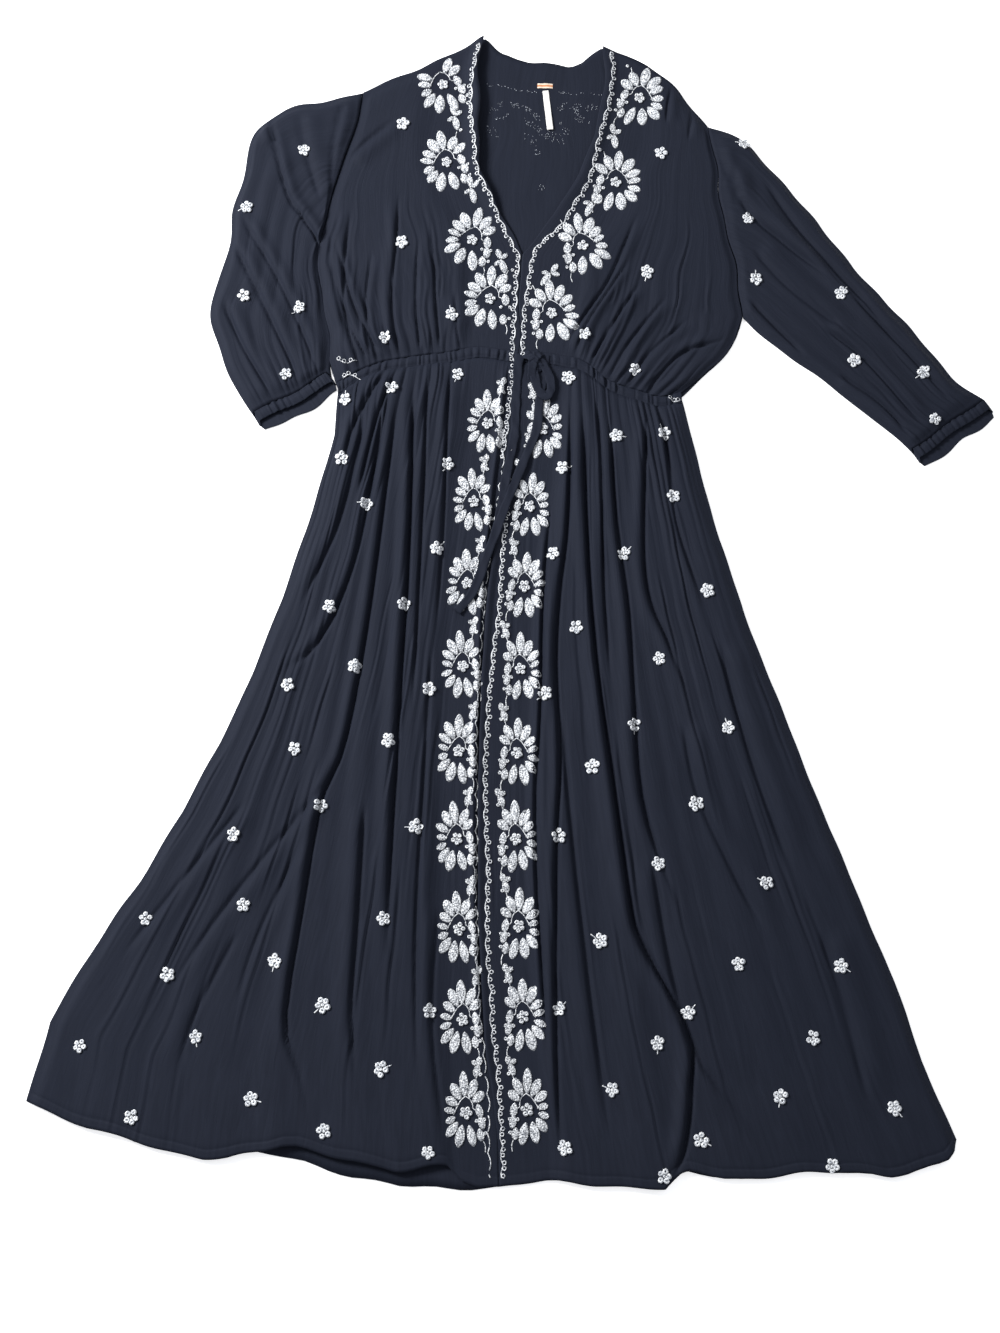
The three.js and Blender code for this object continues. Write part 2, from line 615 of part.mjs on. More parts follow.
// The labels sewn inside the back of the neck
function sewLabel(name, label, material) {
  const piece = sew(name, new THREE.BoxGeometry(label.wide, label.tall, labelThickness), material);
  piece.position.set(label.x, label.y, frontLevel + labelThickness / 2);
  piece.rotation.z = label.turn;
}
sewLabel('neck_label', neckLabel, labelWeave);
sewLabel('care_label', careLabel, labelTape);

// The whole dress, moved so that zero is on the surface under its middle
const box = new THREE.Box3().setFromObject(dress);
const middle = box.getCenter(new THREE.Vector3());
dress.position.set(-middle.x, -middle.y, -box.min.z);
const peasantDress = new THREE.Group();
peasantDress.add(dress);

export default peasantDress;
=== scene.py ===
import math

import bmesh
import bpy
import numpy as np
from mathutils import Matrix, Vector
from mathutils.bvhtree import BVHTree


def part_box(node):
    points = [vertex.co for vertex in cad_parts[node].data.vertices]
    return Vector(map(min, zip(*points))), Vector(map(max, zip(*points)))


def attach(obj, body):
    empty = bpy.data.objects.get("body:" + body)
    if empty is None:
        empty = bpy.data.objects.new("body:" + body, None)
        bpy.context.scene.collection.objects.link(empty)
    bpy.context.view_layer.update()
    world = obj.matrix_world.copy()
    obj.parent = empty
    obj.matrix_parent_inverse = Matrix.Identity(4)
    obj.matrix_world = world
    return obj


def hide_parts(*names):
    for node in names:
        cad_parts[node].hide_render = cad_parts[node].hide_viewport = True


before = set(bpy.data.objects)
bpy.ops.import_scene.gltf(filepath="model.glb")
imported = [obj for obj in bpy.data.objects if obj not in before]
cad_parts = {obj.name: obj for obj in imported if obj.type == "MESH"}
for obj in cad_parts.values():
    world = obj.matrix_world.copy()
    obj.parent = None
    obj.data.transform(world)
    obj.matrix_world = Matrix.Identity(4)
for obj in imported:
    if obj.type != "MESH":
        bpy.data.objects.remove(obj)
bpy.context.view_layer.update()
bpy.ops.object.select_all(action="DESELECT")

# Camera, floor and light. The dress is seen from almost straight above, a little from the hem end,
# on a plain white floor under large soft lamps.
scene = bpy.context.scene
scene.view_settings.view_transform = "Standard"
photo_width, photo_height = 1000, 1333
focus_pixels = 1547
sensor_height = 24
tilt = math.radians(78)
aim, camera_distance = Vector((-0.0354, -0.1071, 0)), 1.64
ahead = Vector((0, math.cos(tilt), -math.sin(tilt)))
eye = aim - camera_distance * ahead
camera_data = bpy.data.cameras.new("camera")
camera_data.sensor_fit = "VERTICAL"
camera_data.sensor_height = sensor_height
camera_data.lens = sensor_height * focus_pixels / photo_height
camera = bpy.data.objects.new("camera", camera_data)
camera.location = eye
camera.rotation_euler = (math.pi / 2 - tilt, 0, 0)
scene.collection.objects.link(camera)
scene.camera = camera


def seen(pixels, height=0.004):
    """The points at a height over the floor that pixels of the photograph show."""
    pixels = np.asarray(pixels, float)
    across = (pixels[:, 0] - photo_width / 2) / focus_pixels
    upward = (photo_height / 2 - pixels[:, 1]) / focus_pixels
    ray_y = ahead.y - upward * ahead.z
    ray_z = ahead.z + upward * ahead.y
    reach = (height - eye.z) / ray_z
    return np.stack([eye.x + reach * across, eye.y + reach * ray_y], axis=1)


def linear(hex_colour):
    """An sRGB hex colour as linear red, green, blue and alpha."""
    parts = [int(hex_colour[i : i + 2], 16) / 255 for i in (1, 3, 5)]
    return (*[p / 12.92 if p <= 0.04045 else ((p + 0.055) / 1.055) ** 2.4 for p in parts], 1)


def set_inputs(tree, node, inputs):
    """Sets a node's inputs, each to a value or to a link from another node's output."""
    for key, value in inputs.items():
        if isinstance(value, bpy.types.NodeSocket):
            tree.links.new(value, node.inputs[key])
        else:
            node.inputs[key].default_value = value


def add_node(tree, kind, inputs=None, **settings):
    """A node with its settings and inputs."""
    node = tree.nodes.new(kind)
    for key, value in settings.items():
        setattr(node, key, value)
    set_inputs(tree, node, inputs or {})
    return node


def new_material(name):
    """An empty material: its tree and its shader."""
    material = bpy.data.materials.new(name)
    material.use_nodes = True
    tree = material.node_tree
    return material, tree, tree.nodes["Principled BSDF"]


floor_size, floor_level = 8, -0.0006
bpy.ops.mesh.primitive_plane_add(size=floor_size, location=(0, 0, floor_level))
floor = bpy.context.object
floor.name = "floor"
floor_paint, floor_tree, floor_shader = new_material("white_floor_paint")
set_inputs(
    floor_tree,
    floor_shader,
    {
        "Base Color": linear("#fcfcfc"),
        "Emission Color": linear("#ffffff"),
        "Emission Strength": 0.6,
        "Roughness": 0.9,
    },
)
floor.data.materials.append(floor_paint)

world = bpy.data.worlds.new("studio")
scene.world = world
world.use_nodes = True
background = world.node_tree.nodes["Background"]
set_inputs(world.node_tree, background, {"Color": linear("#f4f7ff"), "Strength": 0.43})


def soft_lamp(name, place, power, size):
    """A square lamp turned towards the dress."""
    data = bpy.data.lights.new(name, "AREA")
    data.energy = power
    data.size = size
    lamp = bpy.data.objects.new(name, data)
    lamp.location = place
    lamp.rotation_euler = (aim - Vector(place)).to_track_quat("-Z", "Y").to_euler()
    scene.collection.objects.link(lamp)


soft_lamp("key_lamp", (-1.6, 0.8, 1.4), 92, 0.7)
soft_lamp("fill_lamp", (1.5, 1.0, 2.4), 12, 2.0)

# Back of the dress: a bodice and a skirt panel of dark navy rayon crepe, lying on the floor.
# They show inside the neck, under the front hem and from below, with shallow lying creases.
waist_middle = np.array([-0.0155, 0.24436])
cloth_wall, back_level, seam_gap = 0.0009, 0.0013, 0.0003
# Corners of the pattern, in millimetres from the middle of the waist.
corner = {
    "neck_right": (-40, 392),
    "neck_left": (102, 380),
    "shoulder_right": (-174, 324),
    "shoulder_left": (217, 281),
    "underarm_right": (-223, 139),
    "underarm_left": (251, 44),
    "side_right": (-190, -40),
    "side_left": (180, -48),
    "chest": (5, 123),
    "front": (0, 0),
    "hem": (-20, -878),
    "hem_right": (-493, -795),
    "hem_left": (434, -833),
    "cuff_outer_right": (-280, -88),
    "cuff_outer_left": (524, -72),
    "cuff_inner_right": (-197, -40),
    "cuff_inner_left": (440, -128),
}


def crepe(name):
    """Rayon crepe: a matt, dark, soft cloth with fine crinkles along its length, painted shade in their troughs,
    and a faint sheen.
    """
    material, tree, shader = new_material(name)
    uv = add_node(tree, "ShaderNodeUVMap", uv_map="cloth").outputs["UV"]
    crinkle_pitch, crinkle_length, grain = 0.0030, 0.040, 0.0011
    along = add_node(
        tree, "ShaderNodeMapping", {"Vector": uv, "Scale": (1 / crinkle_pitch, 1 / crinkle_length, 1)}
    )
    crinkle = add_node(
        tree, "ShaderNodeTexNoise", {"Vector": along.outputs[0], "Scale": 1, "Detail": 3, "Distortion": 0.6}
    )
    # The real grain is finer than a pixel, so it is drawn about three times as coarse.
    weave = add_node(tree, "ShaderNodeTexNoise", {"Vector": uv, "Scale": 1 / grain, "Detail": 2})
    broad = add_node(tree, "ShaderNodeTexNoise", {"Vector": uv, "Scale": 5, "Detail": 2})
    # The crinkle paints shade into the colour: darker in its troughs, lighter on its ridges. A broad random
    # fading of tone lies over it.
    crinkle_shade = add_node(
        tree,
        "ShaderNodeMix",
        {"Factor": crinkle.outputs["Fac"], "A": linear("#141720"), "B": linear("#242834")},
        data_type="RGBA",
    )
    crinkle_shade_and_fading = add_node(
        tree,
        "ShaderNodeMix",
        {"Factor": broad.outputs["Fac"], "A": crinkle_shade.outputs["Result"], "B": linear("#191d28")},
        data_type="RGBA",
    )
    relief = add_node(
        tree,
        "ShaderNodeMath",
        {0: weave.outputs["Fac"], 1: 0.35, 2: crinkle.outputs["Fac"]},
        operation="MULTIPLY_ADD",
    )
    bump = add_node(
        tree, "ShaderNodeBump", {"Height": relief.outputs[0], "Strength": 0.7, "Distance": 0.0005}
    )
    set_inputs(
        tree,
        shader,
        {
            "Base Color": crinkle_shade_and_fading.outputs["Result"],
            "Normal": bump.outputs[0],
            "Roughness": 0.78,
            "Specular IOR Level": 0.1,
            "Sheen Weight": 0.02,
            "Sheen Roughness": 0.4,
            "Sheen Tint": linear("#7d89a6"),
        },
    )
    return material


rayon = crepe("rayon_crepe")


def at(name, dx=0.0, dy=0.0):
    """A corner of the pattern on the floor, in metres."""
    return np.array(corner[name]) / 1000 + waist_middle + (dx, dy)


def solid_faces(node):
    """The corners of a solid's triangles, and the directions they face."""
    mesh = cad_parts[node].data
    mesh.calc_loop_triangles()
    points = np.array([v.co for v in mesh.vertices])
    triangles = points[np.array([t.vertices for t in mesh.loop_triangles])]
    normals = np.cross(triangles[:, 1] - triangles[:, 0], triangles[:, 2] - triangles[:, 0])
    return triangles, normals / np.maximum(np.linalg.norm(normals, axis=1), 1e-15)[:, None]


def outline(node, facing, lowest=0.0, highest=1.0):
    """The outline, seen from above, of a solid's faces that look up (1) or down (-1) between two levels."""
    triangles, normals = solid_faces(node)
    level = triangles[:, :, 2].mean(axis=1)
    kept = triangles[(normals[:, 2] * facing > 0.15) & (level >= lowest) & (level <= highest)]
    keys = [tuple(k) for k in np.round(kept.reshape(-1, 3) * 1e6).astype(int)]
    edges = set()
    for i in range(0, len(keys), 3):
        for a, b in ((0, 1), (1, 2), (2, 0)):
            edges.add((keys[i + a], keys[i + b]))
    onward = {a: b for a, b in edges if (b, a) not in edges}
    loops = []
    while onward:
        start, step = onward.popitem()
        loop = [start]
        while step != start and step in onward:
            loop.append(step)
            step = onward.pop(step)
        loops.append(loop)
    return np.array(max(loops, key=len))[:, :2] / 1e6


def stretch(loop, ends, others):
    """The part of an outline between two points of the pattern that passes none of the others."""
    index = [int(np.argmin(np.linalg.norm(loop - p, axis=1))) for p in (*ends, *others)]
    turned = np.roll(loop, -index[0], axis=0)
    last = (index[1] - index[0]) % len(loop)
    rest = [(i - index[0]) % len(loop) for i in index[2:]]
    if all(i > last for i in rest):
        return turned[: last + 1]
    return np.concatenate([turned[last:], turned[:1]])[::-1]


def cut(loop, corners):
    """Takes an outline apart at its corners: edges are then asked for by the numbers of their corners."""
    return lambda i, j: stretch(
        loop, (corners[i], corners[j]), [c for k, c in enumerate(corners) if k not in (i, j)]
    )


def even(line, shares):
    """Points at shares of a line's length."""
    lengths = np.concatenate([[0], np.cumsum(np.linalg.norm(np.diff(line, axis=0), axis=1))])
    lengths /= lengths[-1]
    return np.stack([np.interp(shares, lengths, line[:, k]) for k in range(line.shape[1])], axis=1)


def bent(first, second, shares):
    """Points along two lines with a corner half way."""
    ahead_of = np.clip(2 * shares, 0, 1)
    after = np.clip(2 * shares - 1, 0, 1)
    return np.where(shares[:, None] < 0.5, even(first, ahead_of), even(second, after))


def smoothstep(value, low, high):
    """A share that goes smoothly from 0 to 1 between two values."""
    share = np.clip((value - low) / (high - low), 0, 1)
    return share * share * (3 - 2 * share)


def uneven(plan):
    """A plan moved here and there by a few millimetres, the same for all pieces, as soft cloth comes to lie."""
    x, y = plan[..., 0], plan[..., 1]
    sideways = 0.0020 * np.sin(52 * y + 34 * x + 0.7) + 0.0010 * np.sin(97 * y - 61 * x)
    lengthways = 0.0016 * np.sin(47 * x + 11 * y + 2.1) + 0.0010 * np.sin(103 * x + 31 * y)
    above_waist = 0.25 + 0.75 * smoothstep(y, 0.16, 0.30)
    return plan + np.stack([sideways * above_waist, lengthways], axis=-1)


def patch(inner, outer, top, bottom, across, down):
    """A panel stretched between four edges, as rows of points."""
    a, d = across[None, :, None], down[:, None, None]
    ruled = inner[:, None] * (1 - a) + outer[:, None] * a
    hung = top[None] * (1 - d) + bottom[None] * d
    upper = inner[0] * (1 - a) + outer[0] * a
    lower = inner[-1] * (1 - a) + outer[-1] * a
    return uneven(ruled + hung - (upper * (1 - d) + lower * d))


def cloth_mesh(name, points, uv, wrap=False):
    """A sheet through rows of points, facing up or outwards, with its weave laid along its length."""
    rows, columns = points.shape[:2]
    across = columns if wrap else columns - 1
    row, column = np.meshgrid(np.arange(rows - 1), np.arange(across), indexing="ij")
    row, column = row.ravel(), column.ravel()
    after = (column + 1) % columns
    ring = [(row, column), (row, after), (row + 1, after), (row + 1, column)]
    uv_ring = [(row, column), (row, column + 1), (row + 1, column + 1), (row + 1, column)]
    flat = points.reshape(-1, 3)
    quads = np.stack([r * columns + c for r, c in ring], axis=1)
    sides = flat[quads]
    normals = np.cross(sides[:, 2] - sides[:, 0], sides[:, 3] - sides[:, 1])
    centre = sides.mean(axis=1)
    middle = (centre - flat.mean(axis=0)) if wrap else np.array([0, 0, 1.0])
    loops = np.stack([uv[r, c] for r, c in uv_ring], axis=1)
    if (normals * middle).sum() < 0:
        quads, loops = quads[:, ::-1], loops[:, ::-1]
    mesh = bpy.data.meshes.new(name)
    mesh.from_pydata(flat.tolist(), [], quads.tolist())
    weave = mesh.uv_layers.new(name="cloth")
    weave.data.foreach_set("uv", loops.reshape(-1).astype(np.float32))
    mesh.polygons.foreach_set("use_smooth", [True] * len(mesh.polygons))
    mesh.materials.append(rayon)
    piece = bpy.data.objects.new(name, mesh)
    scene.collection.objects.link(piece)
    return piece


def apply_modifier(piece, kind, **settings):
    """Adds a modifier to a piece and applies it."""
    modifier = piece.modifiers.new(kind.lower(), kind)
    for key, value in settings.items():
        setattr(modifier, key, value)
    bpy.ops.object.select_all(action="DESELECT")
    piece.select_set(True)
    bpy.context.view_layer.objects.active = piece
    bpy.ops.object.modifier_apply(modifier=modifier.name)
    piece.select_set(False)


def sew_on(piece, slot, *nodes):
    """Fixes a piece to the dress and hides the parts it stands for; its slot is not used."""
    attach(piece, "root")
    if nodes:
        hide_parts(*nodes)


def finish_cloth(piece, node):
    """Gives a sheet its wall, on the surface it lies on, fixes it to the dress and hides the part it stands for.
    """
    apply_modifier(piece, "SOLIDIFY", thickness=cloth_wall, offset=-1)
    for vertex in piece.data.vertices:
        vertex.co.z = max(vertex.co.z, 0)
    sew_on(piece, "rayon", node)


def drawn_out(plan):
    """The dress's right side, which lies against the sleeve above the waist, so that no gap shows there."""
    seam_x = np.interp(-plan[..., 1], -right_side[:, 1], right_side[:, 0])
    inside = plan[..., 0] - seam_x
    stations = seen([(330, 246), (330, 275), (332, 300), (336, 345), (345, 379), (342, 402), (336, 434)])
    out_by = np.array([0, 2.6, 6.4, 10.2, 9.4, 5.6, 0]) / 1000
    out = np.interp(-plan[..., 1], -stations[:, 1], out_by)
    drawn = plan.copy()
    drawn[..., 0] -= out * (1 - smoothstep(inside, 0, 0.07))
    return drawn


def back_panel(name, left_edge, right_edge, top, bottom, rows, columns):
    """One back panel: its rows run from the wearer's right to left, pressed flat on the floor."""
    across, down = np.linspace(0, 1, columns), np.linspace(0, 1, rows)
    plan = patch(left_edge(down), right_edge(down), even(top, across), even(bottom, across), across, down)
    wide = np.linalg.norm(bottom[-1] - bottom[0])
    tall = np.linalg.norm(bottom[0] - top[0])
    u, v = np.meshgrid(across * wide, down * tall)
    lie = 0.00035 * (np.sin(u * 190 + 3 * np.sin(v * 9)) * np.sin(v * 14 + u * 21) - 0.3)
    heights = np.minimum(back_level + lie, back_level)
    return cloth_mesh(name, np.dstack([drawn_out(plan), heights]), np.dstack([u, v]))


back_edge = cut(
    outline("back_bodice", 1),
    [
        at("neck_right"),
        at("neck_left"),
        at("shoulder_left"),
        at("underarm_left"),
        at("side_left", 0, seam_gap / 2),
        at("side_right", 0, seam_gap / 2),
        at("underarm_right"),
        at("shoulder_right"),
    ],
)
skirt_corners = [
    at("side_right", 0, -seam_gap / 2),
    at("side_left", 0, -seam_gap / 2),
    at("hem_left"),
    at("hem_right"),
]
skirt_cut = cut(outline("back_skirt", 1), skirt_corners)
right_side = np.concatenate([back_edge(6, 5), skirt_cut(0, 3)])
way = np.linspace(0, 1, 60)
back_neck = even(back_edge(0, 1), way)
back_neck[:, 1] += 0.0024 * np.sin(np.pi * way) * np.sin(17 * way + 3 * np.sin(5 * way) + 0.4)
shoulders = np.concatenate([back_edge(7, 0), back_neck[1:], back_edge(1, 2)[1:]])
back_bodice = back_panel(
    "back_bodice_cloth",
    lambda down: bent(back_edge(7, 6), back_edge(6, 5), down),
    lambda down: bent(back_edge(2, 3), back_edge(3, 4), down),
    shoulders,
    back_edge(5, 4),
    70,
    80,
)
finish_cloth(back_bodice, "back_bodice")

back_skirt = back_panel(
    "back_skirt_cloth",
    lambda down: even(skirt_cut(0, 3), down),
    lambda down: even(skirt_cut(1, 2), down),
    skirt_cut(0, 1),
    skirt_cut(3, 2),
    90,
    80,
)
finish_cloth(back_skirt, "back_skirt")

# Fronts: two bodice panels and two skirt panels, gathered on the waist casing, each with a flat
# embroidered band along its edge. The wearer's left skirt laps over the right one down the middle.
front_rest, front_low = 0.0029, 0.0025
casing_half = 0.0055
skirt_loft, bodice_loft = 0.0040, 0.0028
skirt_band, bodice_band = (0.046, 0.070), (0.050, 0.078)
hem_depth, stitch_width, stitch_depth = 0.0092, 0.0011, 0.0007
neck_roll = {"right": 0.0100, "left": 0.0045}
outward = {"right": -1, "left": 1}
# Each side's gathers and fine creases are drawn from seeds of their own.
side_seed = {"right": 0, "left": 3}
laid_points, laid_quads = [], []


def nearest(points, line):
    """Distance of points to a line, which side they lie on, and how far along it."""
    start, run = line[:-1], np.diff(line, axis=0)
    length = np.linalg.norm(run, axis=1)
    best = np.full(len(points), 1e9)
    side = np.zeros(len(points))
    share = np.zeros(len(points))
    before = np.concatenate([[0], np.cumsum(length)])
    for i in range(len(run)):
        offset = points - start[i]
        t = np.clip((offset @ run[i]) / length[i] ** 2, 0, 1)
        gap = offset - t[:, None] * run[i]
        distance = np.linalg.norm(gap, axis=1)
        closer = distance < best
        best[closer] = distance[closer]
        cross = run[i][0] * offset[:, 1] - run[i][1] * offset[:, 0]
        side[closer] = np.sign(cross[closer])
        share[closer] = (before[i] + t[closer] * length[i]) / before[-1]
    return best, side, share


def rounded(line, steps=24):
    """A smooth line through a few points."""
    line = np.asarray(line, float)
    ends = np.concatenate([[2 * line[0] - line[1]], line, [2 * line[-1] - line[-2]]])
    t = np.linspace(0, len(line) - 1, steps)
    i = np.minimum(t.astype(int), len(line) - 2)
    f = (t - i)[:, None]
    a, b, c, d = ends[i], ends[i + 1], ends[i + 2], ends[i + 3]
    return 0.5 * (2 * b + (c - a) * f + (2 * a - 5 * b + 4 * c - d) * f**2 + (3 * b - a - 3 * c + d) * f**3)


def crease(depth, width, ridge, *path, whole=0.12, fades=0.75):
    """A crease: its trough's depth and width and the height of the ridge beside it, in millimetres, with a minus
    where the ridge lies on the right of the path. The path is in photograph pixels; whole and fades are the
    shares of it where the crease has its full depth and where it begins to die away."""
    return depth, width, ridge, path, whole, fades


def creased(points, creases):
    """Height of soft troughs with a ridge beside them."""
    height = np.zeros(len(points))
    for depth, width, ridge, path, whole, fades in creases:
        distance, side, share = nearest(points, rounded(seen(path)))
        fade = smoothstep(share, 0, whole) * (1 - smoothstep(share, fades, 1))
        wide = width / 1000
        signed = distance * side * math.copysign(1, ridge)
        trough = np.exp(-((distance / (0.45 * wide)) ** 2)) * 1.25 * depth
        fold = np.exp(-(((signed - 1.7 * wide) / (1.4 * wide)) ** 2)) * abs(ridge)
        height += fade * (fold - trough) / 1000
    return height


# Edge of the left skirt where it laps over the right one, in photograph pixels.
lap_line = [
    (511, 427), (507, 455), (502, 490), (497, 530), (491, 570), (486, 610), (483, 650), (481, 700),
    (479, 740), (478, 800), (478, 900), (482, 1000), (491, 1100),
]
# The embroidered bands stand a little proud, and the cloth drops away steeply along one side of them.
band_creases = {
    "right": [
        crease(
            3.2, 2.4, -4.2, (509, 358), (506, 395), (503, 421), (500, 452), (496, 482), (493, 515),
            (489, 550), (485, 590), (482, 650), (480, 700), (478, 740), (477, 800), (477, 900), (481, 1000),
            (489, 1090), whole=0.05, fades=0.85,
        ),
    ],
    "left": [
        crease(
            4.4, 2.6, -4.2, (552, 500), (545, 565), (542, 625), (541, 683), (539, 740), (536, 770),
            (535, 830), (537, 900), (543, 990), (549, 1080), fades=0.8,
        ),
        crease(0, 3, 2.6, (549, 520), (544, 580), (541, 683), (538, 760), (538, 900)),
    ],
}
bodice_creases = {
    "right": [
        crease(2.5, 6, -2.5, (349, 158), (373, 137), (397, 120)),
        crease(3.2, 3.2, 1.6, (440, 350), (436, 305), (434, 262), (430, 215)),
        crease(3, 3.2, -1.8, (420, 352), (416, 300), (418, 240)),
        crease(3.4, 3.6, 2, (399, 355), (392, 300), (397, 235), (399, 190)),
        crease(3, 3.4, -2, (378, 366), (366, 310), (372, 250)),
        crease(3, 4, 2.4, (362, 374), (346, 318), (345, 262), (352, 205)),
        crease(2.2, 5, 2, (345, 330), (332, 270), (330, 225)),
        crease(2.4, 2.6, 1, (462, 352), (457, 330), (455, 290)),
        crease(3, 3, -2.4, (384, 358), (369, 335), (354, 305), (342, 265), (334, 238)),
        crease(3, 3, -2.4, (372, 364), (356, 338), (343, 305), (333, 266)),
    ],
    "left": [
        crease(4.4, 3.6, -3, (559, 357), (583, 318), (610, 278), (638, 213)),
        crease(3.6, 3.2, -2.2, (573, 358), (586, 326), (608, 292), (631, 258)),
        crease(3.8, 3.6, -2.6, (590, 362), (597, 351), (618, 316), (641, 282)),
        crease(3.2, 4, -2.4, (608, 380), (630, 342), (668, 296)),
        crease(3.2, 4, 2, (645, 399), (658, 378), (684, 353), (727, 340)),
        crease(2.4, 4, -1.6, (628, 385), (648, 356), (690, 318)),
        crease(2, 5, 2, (709, 144), (732, 164)),
        crease(2.4, 4, 2, (672, 88), (668, 104), (666, 124)),
        crease(2, 4, 1.6, (693, 109), (688, 140)),
        crease(2.4, 2.8, 1, (545, 356), (550, 335), (560, 300)),
    ],
}
skirt_creases = {
    "right": [
        crease(6, 4.2, -4, (414, 380), (409, 554), (400, 697), (389, 897), (391, 975)),
        crease(4, 3.6, -1.6, (450, 366), (446, 458), (443, 540), (436, 640)),
        crease(
            5, 4, -3.2, (397, 400), (378, 554), (362, 661), (343, 751), (321, 804), (303, 907), (286, 1021),
            (300, 1073), (315, 1140), fades=0.8,
        ),
        crease(4.4, 4.4, -3, (384, 410), (357, 554), (318, 643), (271, 679)),
        crease(3.4, 5, -2.4, (366, 420), (340, 520), (300, 610)),
        crease(4, 4, -3, (384, 372), (366, 402), (352, 432), (343, 475)),
        crease(4, 3.6, -3, (394, 374), (380, 410), (369, 450), (358, 500)),
        crease(2.4, 6, 1.8, (330, 780), (258, 866), (206, 935), (165, 1000)),
        crease(2, 6, 1.6, (248, 800), (172, 894), (120, 960)),
        crease(1.8, 6, -1.4, (240, 930), (193, 1021), (180, 1080)),
        crease(2, 5, 1.6, (300, 845), (255, 945), (236, 1010)),
        crease(4, 5, -2.8, (365, 800), (358, 918), (352, 1010), (356, 1090)),
        crease(4, 3.8, -2, (428, 372), (424, 480), (418, 610), (412, 720)),
        crease(3.6, 5, 2, (432, 640), (424, 780), (416, 940), (418, 1100)),
        crease(2.6, 5, -1.6, (440, 900), (432, 1020), (446, 1150)),
    ],
    "left": [
        crease(
            5.4, 4, -3.6, (571, 380), (568, 518), (560, 590), (556, 660), (560, 760), (556, 862),
            (556, 1047), (562, 1177), fades=0.9,
        ),
        crease(
            7.4, 4.6, -4.6, (583, 400), (587, 540), (596, 661), (611, 769), (629, 897), (640, 940),
            (687, 1029), (691, 1084), (685, 1147), (672, 1180), fades=0.95,
        ),
        crease(5, 5, -3.6, (610, 410), (616, 518), (628, 608), (634, 697), (643, 804), (675, 897), (695, 929)),
        crease(4.4, 4.4, -3.2, (646, 412), (645, 572), (668, 643), (690, 700)),
        crease(3.2, 5, -2.4, (662, 412), (676, 520), (705, 610)),
        crease(3.2, 8, 2.8, (720, 640), (735, 707), (761, 788), (795, 881)),
        crease(3.2, 7, 2.8, (682, 721), (698, 795), (732, 870), (770, 940)),
        crease(3, 6, -3, (650, 850), (672, 973), (700, 1060), (760, 1130)),
        crease(3.8, 3.8, -2, (596, 392), (602, 480), (604, 590), (612, 690)),
        crease(3.4, 6, -2.4, (560, 700), (572, 830), (590, 990), (612, 1150)),
        crease(2.6, 9, 2.4, (820, 930), (850, 1030), (870, 1110)),
    ],
}


def solid_top(node, plan):
    """The height of a solid's top under the points of a plan, in rows."""
    triangles, _ = solid_faces(node)
    corners = np.arange(3 * len(triangles)).reshape(-1, 3)
    tree = BVHTree.FromPolygons(triangles.reshape(-1, 3).tolist(), corners.tolist())
    heights = np.empty(plan.shape[:2])
    down = Vector((0, 0, -1))
    for row in range(plan.shape[0]):
        for column in range(plan.shape[1]):
            hit = tree.ray_cast(Vector((*plan[row, column], 0.1)), down)[0]
            heights[row, column] = hit.z if hit else front_rest
    return heights


def softened(heights, passes, axes=(0, 1)):
    """Heights, or the points of a line, with their sharp steps worn away; the ends of a line stay."""
    ends = heights[[0, -1]]
    for _ in range(passes):
        for axis in axes:
            padded = np.pad(heights, [(1, 1) if k == axis else (0, 0) for k in (0, 1)], mode="edge")
            before = np.take(padded, range(heights.shape[axis]), axis)
            after = np.take(padded, range(2, heights.shape[axis] + 2), axis)
            heights = (before + 2 * heights + after) / 4
        if axes == (0,):
            heights[[0, -1]] = ends
    return heights


def gathers(place, from_waist, count, tallest, longest, seed):
    """Uneven gathers that leave the waist side by side and die away along the cloth."""
    draw = np.random.default_rng(seed)
    tall = draw.uniform(0.15, 1, count + 2) * tallest
    reach = draw.uniform(0.25, 1, count + 2) ** 1.4 * longest + 0.02
    step = np.cumsum(draw.uniform(0.4, 1.6, count))
    step = np.concatenate([[0], step / step[-1]])
    index = np.clip(np.searchsorted(step, place, side="right") - 1, 0, count - 1)
    share = (place - step[index]) / (step[index + 1] - step[index])
    crown = np.sin(np.pi * np.clip(share, 0, 1)) ** 0.8
    begin = 0.45 + 0.55 * smoothstep(from_waist, 0, 0.014)
    return begin * crown * tall[index] * np.exp(-((from_waist / reach[index]) ** 1.3))


def fine_creases(place, down, width, count, seed, whole=False):
    """Thin creases along the cloth, whole or here and there, as crepe dries in, with a low fold beside each."""
    draw = np.random.default_rng(seed)
    height = np.zeros(place.shape)
    for _ in range(count):
        start, reach = draw.uniform(-0.15, 0.75), draw.uniform(0.14, 0.5)
        wander = draw.uniform(0, 0.018) * (1 - whole)
        path = draw.uniform(0.02, 0.98) + wander * np.sin(5 * down + draw.uniform(0, 6.3))
        thin, deep = draw.uniform(0.0010, 0.0017), draw.uniform(0.02, 0.048) ** 2
        gap = (place - path[:, None]) * width * draw.choice([-1, 1])
        shown = smoothstep(down, start, start + 0.06)
        shown = shown * (1 - smoothstep(down, start + 0.5 * reach, start + reach))
        shown = np.maximum(shown, whole)
        fold = 0.6 * np.exp(-(((gap - 2.4 * thin) / (1.8 * thin)) ** 2)) - np.exp(-((gap / thin) ** 2))
        height += shown[:, None] * deep * fold
    return height


def no_lower(heights, lowest):
    """Heights kept above a level, with a soft landing on it."""
    over = heights - lowest
    return lowest + 0.5 * (over + np.sqrt(over**2 + 0.0007**2))


def row_widths(plan):
    """The width of each row of a plan."""
    return np.linalg.norm(np.diff(plan, axis=1), axis=2).sum(axis=1)[:, None]


